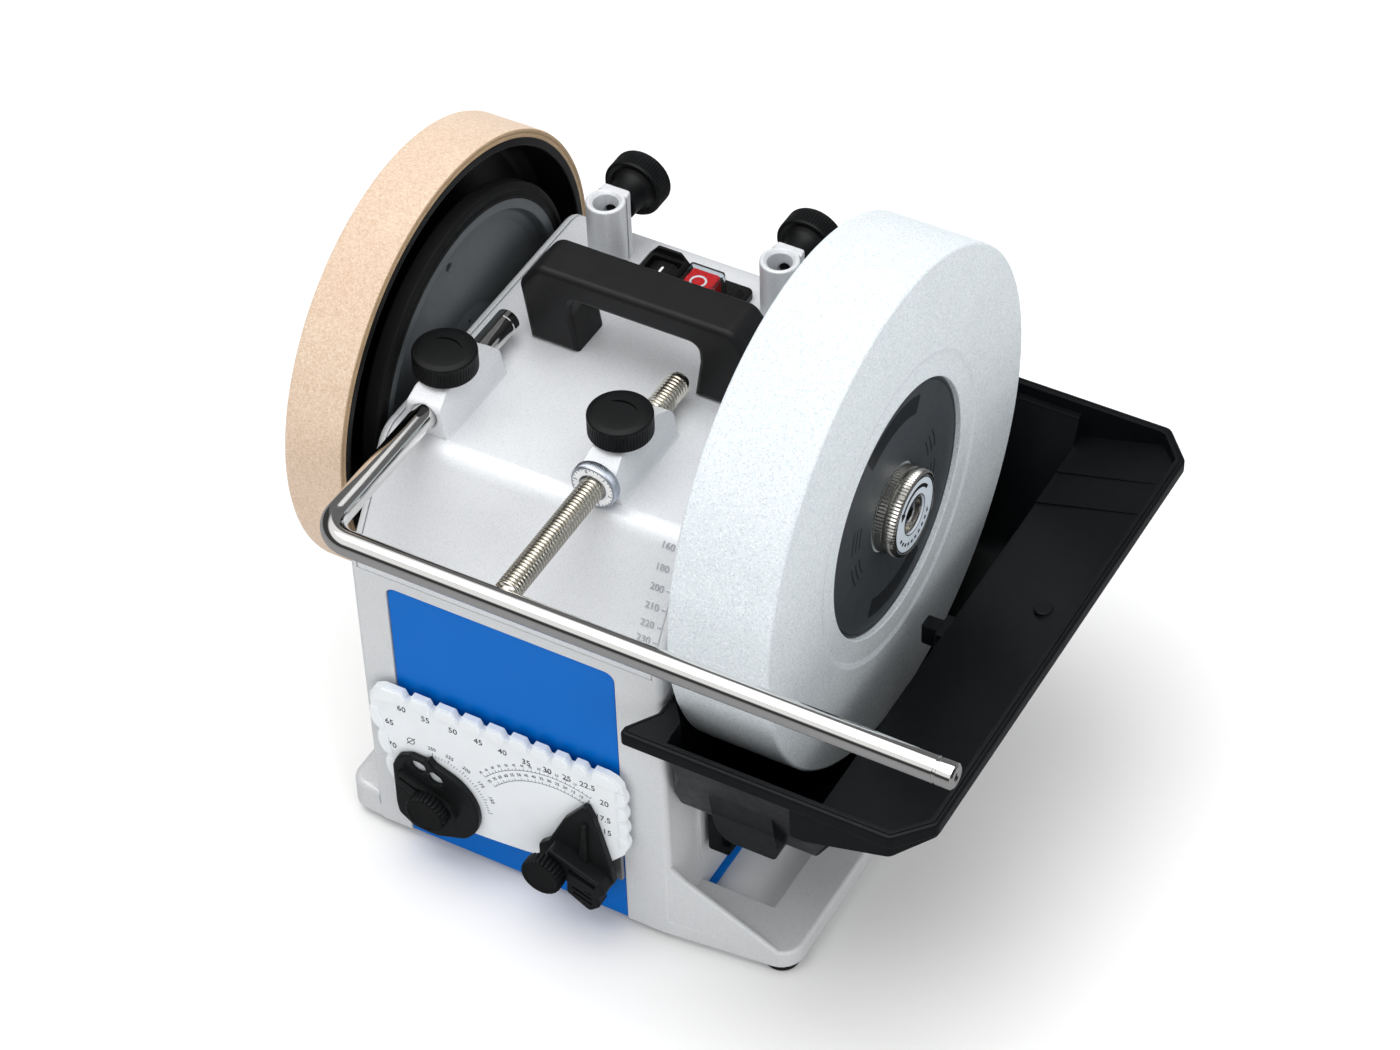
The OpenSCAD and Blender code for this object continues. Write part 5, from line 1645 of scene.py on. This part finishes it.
def tray_outside():
    rim = rounded(RIM, RIM_RADII, 5)
    outline = trough_outline(0, RIM_Z - 1, [0, 8, 12, 16])
    tray = Solid().prism("x", TRAY_X0, 166, outline, 1.2, 0, 3).object()
    clip(tray, Solid().prism("z", 60, 163.5, inset(rim, 0.4)))
    narrow_trough(tray, 0)
    # sloping shelf with its side walls
    slope = rounded([(158, 141), (160, 140), (166, 140.4), (TRAY_X1 + 1, 157),
                     (TRAY_X1 + 1, RIM_Z - 1), (158, RIM_Z - 1)], [0, 0, 4, 0, 0, 0], 5)
    shelf = Solid().prism("y", -TRAY_Y, TRAY_Y, slope).object()
    clip(shelf, Solid().prism("z", 60, RIM_Z, inset(rim, 0.9)))
    fuse(tray, shelf)
    fuse(tray, Solid().prism("z", 157.5, RIM_Z, rim, 1.2, 1.4, 4))
    # grip lip on the front wall
    face = rounded([(106, 124), (105.5, 91), (109, 83.4), (118, 79.4), (129, 79.4),
                    (135.0, 83.4), (137.5, 91), (138, 124)], [0, 6, 6, 8, 8, 6, 6, 0], 4)
    side = rounded([(-118, 122), (-124.3, 122), (-121.6, 106), (-115.2, 82), (-113, 79.4),
                    (-106, 79.4), (-99, 92)], [0, 0, 8, 2.0, 1.5, 2, 0], 4)
    lip = Solid().prism("y", -130, -95, face).object()
    clip(lip, Solid().prism("x", 100, 145, side))
    fuse(tray, lip)
    # hooks on the left wall
    hook = rounded([(TRAY_X0 + 0.4, 84), (TRAY_X0 + 0.4, 36), (95, 36), (95, 42), (91, 42),
                    (91, 84)], [0, 1.5, 1.5, 1.2, 1.0, 0], 3)
    for end in (-1, 1):
        fuse(tray, Solid().prism("y", *mirrored(end, 76, 88), hook, 0.6, 0.6, 2))
    # ribs under the shelf
    rib = [(163, 121), (166.8, 121), (206, 151), (206, 158), (163, 158)]
    for y in (-96, -48, 0, 48, 96):
        fuse(tray, Solid().prism("y", y - 1.2, y + 1.2, rib, 0.4, 0.4, 2))
    return tray


def hollow_tray(tray):
    # inside of the trough, rounded where walls meet
    outline = trough_outline(TRAY_WALL, RIM_Z + 3, [0, 7, 12, 15])
    room = Solid().prism("x", TRAY_X0 + TRAY_WALL, 163.5, outline, 1.6, 0, 4).object()
    narrow_trough(room, TRAY_WALL)
    cut(tray, room)
    # space above the shelf, stepped along its length
    x0, x1, y1 = TRAY_X0 + TRAY_WALL, TRAY_X1 - 4.5, TRAY_Y - 4.5
    inside = rounded([(x0, -y1), (205.5, -y1), (x1, -TRAY_Y + 18.5), (x1, TRAY_Y - 18.5),
                      (205.5, y1), (x0, y1)], [1.5, 3.5, 3.5, 3.5, 3.5, 1.5], 5)
    for low, high, h in SHELF_LEVELS:
        right = 159 + h * 0.4
        space = Solid().prism("y", low, high,
                              [(163.3, 142.9 + h), (166, 143.2 + h), (TRAY_X1 - 4, right),
                               (TRAY_X1 + 3, right), (TRAY_X1 + 3, RIM_Z + 3),
                               (163.3, RIM_Z + 3)]).object()
        clip(space, Solid().prism("z", 60, RIM_Z + 4, inside))
        cut(tray, space)
    # opening of the rim, its arms left solid
    opening = Solid().prism("z", 158.5, RIM_Z + 3, inside).object()
    arm_x = 93.0 + TRAY_WALL
    cut(opening, Solid().prism("z", 150, 200, rect(60, arm_x, -TRAY_Y - 5, -118)))
    cut(opening, Solid().prism("z", 150, 200, rect(60, arm_x, 118, TRAY_Y + 5)))
    cut(tray, opening)


def water_tray():
    tray = tray_outside()
    hollow_tray(tray)
    # fine groove round the top of the rim
    groove = Solid().prism("z", 164.55, 167, rim_outline(1.9)).object()
    cut(groove, Solid().prism("z", 164.55 - 1, 167 + 1, rim_outline(2.35)))
    cut(tray, groove)
    # round boss on the shelf
    boss = eased([(0, 150), (4.4, 150), (4.4, 155.9), (0, 155.9)], [0, 0, 0.5, 0])
    fuse(tray, Solid().lathe("z", (201.5, 18.5), boss, 40))
    clean(tray, 2e-3, 0.1)
    finish(tray, "water_tray_shell", "water_tray", "tray_black", sharp=30)


def tray_magnet():
    lug = Solid().box(158.6, 163.4, -6, 8, 120, 141, 0.8).object()
    fuse(lug, Solid().box(150.5, 160, -3, 5, 128, 140, 0.8))
    finish(lug, "tray_magnet_lug", "tray_magnet", "tray_black")


water_tray()
tray_magnet()

# ----------------------------------------------------------- angle gauge
# A plate standing in XZ before the housing; outlines below are (x, z).

PLATE_Y0, PLATE_Y1 = -126.0, -122.6  # front and back faces
DIAL = (-40.4, 45.0)
POINTER = (26.0, 42.0)
PIVOT_R = 3.05

# scalloped sides: start, end, number of lobes
LEFT_EDGE = ((-61.5, 29), (-74, 94), 4)
RIGHT_EDGE = ((62.2, 100.5), (62.2, 60.5), 4)
NOTCHES_X = [-52.8, -39.2, -25.4, -12.2, 0.5, 12.6, 24.0, 34.6, 44.8]

PLATE_TOP = [(-74, 96.5), (-73.6, 101), (-70.6, 106.4), (-66, 108.9), (-62.0, 109),
             (54.0, 108.8), (58.6, 107.4), (61.6, 104.2)]
PLATE_FOOT = [(60.8, 57), (54, 49.5), (44, 42), (35, 38), (26, 35), (16, 32.9), (6.2, 31.3),
              (-12, 29.6), (-29.7, 28.5), (-46, 28.2)]

# number, x, z
ANGLE_LABELS = [
    ("60", -56.5, 97.6), ("55", -43.5, 96.6), ("50", -28.6, 96.4), ("45", -14.9, 96.0),
    ("40", -1.9, 95.7), ("35", 10.8, 95.0), ("30", 22.0, 95.2), ("25", 32.4, 95.4),
    ("22.5", 43.3, 95.6), ("20", 51.8, 88.2), ("17.5", 50.7, 77.2), ("15", 52.4, 68.6),
    ("65", -64.2, 85.2), ("70", -64.0, 69.6), ("75", -63.8, 54.0),
]


def lobe(edge, index, margin, height, power, steps):
    """points of one outward bulge of a scalloped edge"""
    start, end, count = edge
    step = (Vector(end) - Vector(start)) / count
    along = step.normalized()
    outward = Vector((-along.y, along.x))
    points = []
    for k in range(steps + 1):
        share = k / steps
        point = (Vector(start) + step * (index + margin + (1 - 2 * margin) * share)
                 + outward * (height * math.sin(math.pi * share) ** power))
        points.append((point.x, point.y))
    return points, step, outward


def scallops(edge, height):
    return [p for i in range(edge[2]) for p in lobe(edge, i, 0.04, height, 0.6, 6)[0]]


def cushions():
    """raised pads between the notches and in the side lobes"""
    pads = Solid()
    stops = [-62.5] + NOTCHES_X + [54.5]
    for left, right in zip(stops, stops[1:]):
        from_left = [(left + 1.0, 105.2), (left + 2.9, 108.3)]
        to_right = [(right - 2.9, 108.3), (right - 1.0, 105.2)]
        if left == stops[0]:
            points = ([(-71.5, 103.5), (-66.5, 107.8)] + to_right
                      + [(right - 1.0, 101.6), (-68, 98.6), (-72.6, 98.6)])
        elif right == stops[-1]:
            points = ([(left + 1.0, 101.2)] + from_left
                      + [(57.6, 106.6), (60.4, 103.0), (60.2, 100.6), (54, 99.5)])
        else:
            points = ([(left + 1.0, 101.4)] + from_left + to_right + [(right - 1.0, 101.4)])
        pads.prism("y", PLATE_Y0 - 1.3, PLATE_Y0 + 0.2, rounded(points, 1.3, 3), 1.0, 0, 3)
    for edge, height, width in ((LEFT_EDGE, 2.0, 4.2), (RIGHT_EDGE, 1.1, 3.4)):
        for i in range(edge[2]):
            points, step, outward = lobe(edge, i, 0.10, height, 0.7, 8)
            for share in (0.88, 0.12):
                corner = Vector(edge[0]) + step * (i + share) - outward * width
                points.append((corner.x, corner.y))
            pads.prism("y", PLATE_Y0 - 0.8, PLATE_Y0 + 0.2, points, 0.5, 0, 2)
    return pads


def print_text(sign, words, size, x, z, turn=0.0, slot=1):
    c, s = math.cos(math.radians(turn)), math.sin(math.radians(turn))

    def on_plate(u, v, w):
        return (x + u * c - v * s, PLATE_Y0 - w - 0.02, z + u * s + v * c)
    sign.text(words, size, on_plate, 0.14, slot)


def print_shape(sign, outline, slot):
    sign.prism("y", PLATE_Y0 - 0.07, PLATE_Y0 + 0.05, outline, slot=slot)


def print_stroke(sign, start, end, width, slot):
    along = Vector((end[0] - start[0], end[1] - start[1])).normalized()
    n = Vector((-along.y, along.x)) * (width / 2)
    print_shape(sign, [(start[0] + n.x, start[1] + n.y), (start[0] - n.x, start[1] - n.y),
                       (end[0] - n.x, end[1] - n.y), (end[0] + n.x, end[1] + n.y)], slot)


def print_arc(sign, centre, radius, start, end, width, slot):
    half = width / 2
    print_shape(sign, band(*centre, radius + half, radius - half, start, end, 40), slot)


def print_tick(sign, centre, radius, length, turn, width):
    print_stroke(sign, polar(*centre, radius, turn), polar(*centre, radius + length, turn),
                 width, slot=2)


def gauge_signs():
    sign = Solid()
    for words, x, z in ANGLE_LABELS:
        print_text(sign, words, 4.9, x, z)
    # diameter sign, then the diameter scale round the dial
    print_arc(sign, (-53.0, 77.6), 1.9, 0, 359.9, 0.4, slot=1)
    print_stroke(sign, (-55.4, 75.0), (-50.6, 80.2), 0.4, slot=1)
    dial_r, dial_start = 27.6, 92
    for k in range(26):
        length = 2.6 if k % 5 == 0 else 1.4
        print_tick(sign, DIAL, dial_r, length, dial_start - k * 3.4, 0.28)
    for k, words in enumerate(("250", "225", "200", "175", "150")):
        turn = dial_start - k * 17.0
        print_text(sign, words, 3.0, *polar(*DIAL, dial_r + 5.2, turn), turn - 90)
    # double angle scale over the pointer
    inner, outer = 43.2, 47.4
    start, end = 141.0, 68.0
    print_arc(sign, POINTER, inner, start, end, 0.28, slot=2)
    print_arc(sign, POINTER, outer + 2.2, start, end, 0.28, slot=2)
    for k in range(29):
        turn = start + (end - start) * k / 28
        length = 1.5 if k % 2 == 0 else 0.9
        print_tick(sign, POINTER, inner, length, turn, 0.22)
        print_tick(sign, POINTER, outer + 2.2, length, turn, 0.22)
    for k in range(15):
        turn = start + (end - start) * k / 14
        print_text(sign, str(75 - 5 * k), 2.5, *polar(*POINTER, inner + 3.5, turn), turn - 90)
        if k < 13:
            print_text(sign, str(70 - 5 * k), 2.1, *polar(*POINTER, outer + 5.2, turn),
                       turn - 91, slot=2)
    return sign


def gauge_plate():
    outline = scallops(LEFT_EDGE, 2.6) + PLATE_TOP + scallops(RIGHT_EDGE, 1.6) + PLATE_FOOT
    plate = Solid().prism("y", PLATE_Y0, PLATE_Y1, outline, 0.35, 0.25, 2).object()
    through = (PLATE_Y0 - 1, PLATE_Y1 + 1)
    for x in NOTCHES_X:
        notch = rounded([(x - 3.0, 110), (x - 0.7, 105.2), (x + 0.9, 105.2), (x + 3.2, 110)],
                        [0, 0.3, 0.3, 0], 2)
        cut(plate, Solid().prism("y", *through, notch))
    for centre in (DIAL, POINTER):
        cut(plate, Solid().rod("y", *through, centre, PIVOT_R, 32))
    fuse(plate, cushions())
    join(plate, gauge_signs())
    finish(plate, "angle_gauge_plate", "gauge_plate", "gauge_white",
           ("gauge_white", "sign_black", "sign_grey"), sharp=28)


def gauge_magnets():
    """discs and blocks on the back of the plate"""
    back = -120.2
    profile = eased([(0, PLATE_Y1), (8, PLATE_Y1), (8, -119.6), (3.4, -119.6), (3.4, back),
                     (0, back)], [0, 0, 0.6, 0.3, 0.2, 0])
    discs = Solid()
    for x in (-10, 45):
        discs.lathe("y", (x, 70), profile, 56)
    magnets = discs.object()
    fuse(magnets, Solid().box(44, 57, PLATE_Y1, back, 34, 60, 0.3))
    fuse(magnets, Solid().box(-16, -4, PLATE_Y1, back, 40, 52, 0.3))
    finish(magnets, "gauge_magnet_pair", "gauge_magnets", "magnet_grey")


def gauge_dial():
    points = [(-62, 27), (-63, 34), (-62.8, 60), (-59.5, 67.5), (-52, 71.5), (-44.5, 71.0),
              (-41.6, 73.6), (-38.8, 70.2)]
    points += arc(*DIAL, 24, 62, -52, 12)
    points += [(-40.4, 20.6), (-46, 20.3), (-54, 20.8)]
    outline = rounded(points, [4, 0, 4, 6, 6, 1.2, 0.4, 1.2] + [0] * 13 + [0, 6, 6], 4)
    dial = Solid().prism("y", -129.6, PLATE_Y0 - 0.3, outline, 1.1, 0.3, 4).object()
    # ridge across, with a slot in it
    ridge = rounded([(-60, 52), (-60.4, 57), (-57, 59.4), (-30, 47.6), (-27.5, 42),
                     (-30.5, 37.6), (-36, 39)], 2, 4)
    fuse(dial, Solid().prism("y", -132.6, -129.2, ridge, 0.9, 0, 3))
    slot = rounded([(-57.8, 55.6), (-57.2, 57.2), (-44, 51.4), (-44.8, 49.6)], 0.5, 2)
    cut(dial, Solid().prism("y", -134, -131.0, slot))
    # shallow recess with two round openings
    recess = rounded([(-57, 61), (-54, 68), (-47, 69.2), (-36, 64.2), (-31.8, 58.6),
                      (-33.4, 55.6), (-39.4, 56)], 2.4, 4)
    cut(dial, Solid().prism("y", -131, -129.0, recess))
    for centre, radius in (((-48.6, 64.6), 4.5), ((-39.6, 60.6), 4.4)):
        cut(dial, Solid().rod("y", -131, PLATE_Y0 + 1, centre, radius, 40))
    cut(dial, Solid().rod("y", -140, PLATE_Y0, DIAL, PIVOT_R, 32))
    clean(dial, 1e-3, 0.05)
    finish(dial, "stone_diameter_dial", "gauge_dial", "gauge_black", sharp=30)


def gauge_pointer():
    outline = rounded([(16.5, 37), (16.6, 46), (22, 51), (31, 70), (42.4, 84.6), (44.7, 84.6),
                       (47.4, 79), (55.5, 47), (56.8, 38), (52, 33.6), (30, 30.3), (19, 32)],
                      [3, 3, 3, 6, 0.5, 0.5, 3, 6, 3, 3, 4, 4], 4)
    pointer = Solid().prism("y", -130, PLATE_Y0 - 0.3, outline, 0.9, 0.3, 3).object()
    # spine and cross ridge
    spine = rounded([(42.2, 74), (44.6, 74), (44.0, 45), (38.6, 45)], [0.6, 0.6, 0, 0], 3)
    fuse(pointer, Solid().prism("y", -132.2, -129.6, spine, 0.8, 0, 3))
    ridge = rounded([(23.4, 46.5), (27, 55.6), (31.4, 53.4), (53.6, 44.2), (56.6, 38.8),
                     (53.4, 33.8), (34.5, 37.4)], [2, 2, 3, 2.4, 2, 2.4, 3], 4)
    fuse(pointer, Solid().prism("y", -138, -129.6, ridge, 1.3, 0, 4))
    slot = rounded([(36.5, 44.6), (38.0, 48.2), (52, 42.6), (51, 39.6)], 1.0, 3)
    cut(pointer, Solid().prism("y", -139, -136.0, slot))
    # grooved grip under the ridge
    grip = rounded([(33.5, 37), (50.4, 33.4), (50.4, 22.4), (45, 17.2), (32.8, 24.8)],
                   [0, 0, 2, 2.4, 2], 4)
    fuse(pointer, Solid().prism("y", -134, -126.3, grip, 1.0, 0.3, 3))
    for k in range(3):
        z = 22.6 + 3.4 * k
        groove = rounded([(36.2, z + 3.6), (36.6, z + 4.9), (47.0, z + 0.9), (46.4, z - 0.3)],
                         0.4, 2)
        cut(pointer, Solid().prism("y", -135, -133.0, groove))
    cut(pointer, Solid().rod("y", -140, PLATE_Y0, POINTER, PIVOT_R, 32))
    clean(pointer, 1e-3, 0.05)
    finish(pointer, "edge_angle_pointer", "gauge_pointer", "gauge_black", sharp=30)


def gauge_knob(name, node, centre, y):
    """clamp knob; y is the back of its head"""
    teeth = 26
    back, front = PLATE_Y1, y - 7
    profile = [(0, back + 1.2), (5.1, back + 1.2), (5.5, back + 0.9), (5.5, back), (3.0, back),
               (3.0, y), (9.4, y), (10.2, y - 0.25), (10.5, y - 0.8), (10.5, y - 2.5),
               (10.5, y - 5.6), (10.2, front + 0.55), (9.6, front + 0.12), (9.0, front),
               (8.4, front + 0.06), (8.1, front + 0.35), (7.6, front + 0.4), (0, front + 0.3)]
    knob = Solid().lathe("y", centre, profile, teeth * 8,
                         knurl(teeth, 9.7, lambda wave: 0.75 * max(0.0, 1 - 1.7 * wave)))
    finish(knob, name, node, "gauge_black", ("knob_black",), sharp=34, weighted=False)


gauge_plate()
gauge_magnets()
gauge_dial()
gauge_pointer()
gauge_knob("diameter_clamp_knob", "dial_knob", DIAL, -132.9)
gauge_knob("angle_clamp_knob", "pointer_knob", POINTER, -138.3)


# ------------------------------------------------- motor pressure spring


def pressure_spring():
    """closed end coils on a mesh of its own, drawn at one length; nothing here shortens them as
    the motor swings down
    """
    coil_r, wire_r, height, turns = 8.0, 0.9, 57.2, 8.0
    x, y, z = -25.0, 60.0, 7.6
    end_pitch = 1.84
    pitch = (height - 2 * wire_r - 2 * end_pitch) / (turns - 2)
    path = []
    for k in range(int(turns * 40) + 1):
        t = k / 40.0
        if t < 1:
            rise = end_pitch * t
        else:
            rise = (end_pitch + pitch * (min(t, turns - 1) - 1)
                    + end_pitch * max(0.0, t - turns + 1))
        turn = 2 * math.pi * t
        path.append((x + (coil_r - 0.02) * math.cos(turn), y + (coil_r - 0.02) * math.sin(turn),
                     z + (wire_r + rise)))
    coil = Solid().tube(path, [wire_r - 0.03] * len(path), 12)
    ob = finish(coil, "motor_pressure_spring", "motor_spring", "steel_plain", sharp=50,
                weighted=False)
    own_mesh(ob)


pressure_spring()

# nodes that nothing above replaces keep their CAD shape
replaced = set()
for scene_ob in bpy.context.scene.objects:
    replaced.update(scene_ob.get("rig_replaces", []))
for node_name in sorted(nodes):
    if node_name not in replaced:
        keep_cad(node_name, MATERIALS[slot_of.get(node_name, "steel_plain")])


# ------------------------------------------- floor, light and camera, in metres

scene = bpy.context.scene


def floor():
    """pale sweep: a floor that curves up far behind"""
    pale = Material("floor_pale", (246, 246, 246), rough=0.6)
    pale.vary(scale=0.002, amount=0.004, detail=1)
    pale.set("Specular IOR Level", 0.15)
    # seen in polished metal the floor is dim, like a grey cloth round the table
    path = pale.node("ShaderNodeLightPath")
    pale.tint(path.outputs["Is Glossy Ray"], (112, 113, 115), amount=0.9)
    half_width, bend_y, bend_r = 9.0, 3.0, 2.0
    profile = [(-6.0, 0.0), (bend_y, 0.0)]
    for k in range(1, 13):
        turn = math.pi / 2 * k / 12
        profile.append((bend_y + bend_r * math.sin(turn), bend_r - bend_r * math.cos(turn)))
    profile.append((bend_y + bend_r, 7.0))
    bm = bmesh.new()
    rows = [[bm.verts.new((side * half_width, y, z)) for side in (-1, 1)] for y, z in profile]
    for near, far in zip(rows, rows[1:]):
        bm.faces.new((near[0], near[1], far[1], far[0]))
    mesh = bpy.data.meshes.new("floor")
    bm.to_mesh(mesh)
    bm.free()
    mesh.polygons.foreach_set("use_smooth", [True] * len(mesh.polygons))
    ob = bpy.data.objects.new("floor", mesh)
    scene.collection.objects.link(ob)
    mesh.materials.append(pale.build())


LIGHT_TARGET = Vector((0.0, 0.0, 0.16))
# name, place, width, height, power, seen in reflections
LIGHTS = [
    ("key_top", (-0.2, -0.2, 2.4), 2.4, 2.4, 50, True),
    ("front_left", (-1.9, -2.0, 1.3), 1.4, 1.6, 3.5, False),
    ("front_right", (2.2, -1.5, 1.3), 1.6, 1.6, 24, False),
    ("back", (0.2, 2.3, 1.6), 2.4, 1.2, 12, False),
]


def lights():
    for name, location, width, height, power, reflected in LIGHTS:
        light = bpy.data.lights.new(name, "AREA")
        light.shape = "RECTANGLE"
        light.size = width
        light.size_y = height
        light.energy = power
        ob = bpy.data.objects.new(name, light)
        scene.collection.objects.link(ob)
        ob.location = location
        direction = LIGHT_TARGET - Vector(location)
        ob.rotation_euler = direction.to_track_quat("-Z", "Y").to_euler()
        if not reflected:
            ob.visible_glossy = False


def world():
    """white room; seen in reflections it is dark along the horizon, like black cards
    set round the table, and bright overhead"""
    studio = bpy.data.worlds.new("studio")
    scene.world = studio
    studio.use_nodes = True
    room = Nodes(studio.node_tree)
    background = room.tree.nodes["Background"]
    coords = room.node("ShaderNodeTexCoord")
    split = room.node("ShaderNodeSeparateXYZ")
    room.feed(split.inputs[0], coords.outputs["Generated"])
    tilt = -0.22  # lets the bright part reach lower at the front
    leaning = room.math("MULTIPLY_ADD", split.outputs["Y"], tilt, split.outputs["Z"])
    overhead = room.ramp(leaning, low=0.48, high=0.61, to_low=0.05, to_high=0.95,
                         kind="SMOOTHSTEP")
    path = room.node("ShaderNodeLightPath")
    plain_strength = 0.57
    mix = room.node("ShaderNodeMix", {"data_type": "FLOAT"}, A=plain_strength, B=overhead,
                    Factor=path.outputs["Is Glossy Ray"])
    background.inputs["Color"].default_value = (1, 1, 1, 1)
    room.feed(background.inputs["Strength"], mix.outputs["Result"])


def camera():
    """above the front right, looking down at the machine"""
    position = Vector((0.6628, -1.1686, 1.4655))
    forward = Vector((-0.3642, 0.6176, -0.6971)).normalized()
    roll = math.radians(-2.12)
    lens = bpy.data.cameras.new("camera")
    lens.sensor_fit = "HORIZONTAL"
    lens.sensor_width = 36.0
    lens.lens = 104.2
    lens.clip_end = 100
    ob = bpy.data.objects.new("camera", lens)
    scene.collection.objects.link(ob)
    level = forward.cross(Vector((0, 0, 1))).normalized()
    upright = level.cross(forward).normalized()
    right = level * math.cos(roll) + upright * math.sin(roll)
    up = -level * math.sin(roll) + upright * math.cos(roll)
    turn = Matrix((right, up, -forward)).transposed()
    ob.matrix_world = Matrix.Translation(position) @ turn.to_4x4()
    scene.camera = ob


floor()
lights()
world()
camera()

scene.view_settings.view_transform = "Standard"
scene.view_settings.look = "None"
scene.view_settings.exposure = 0.0
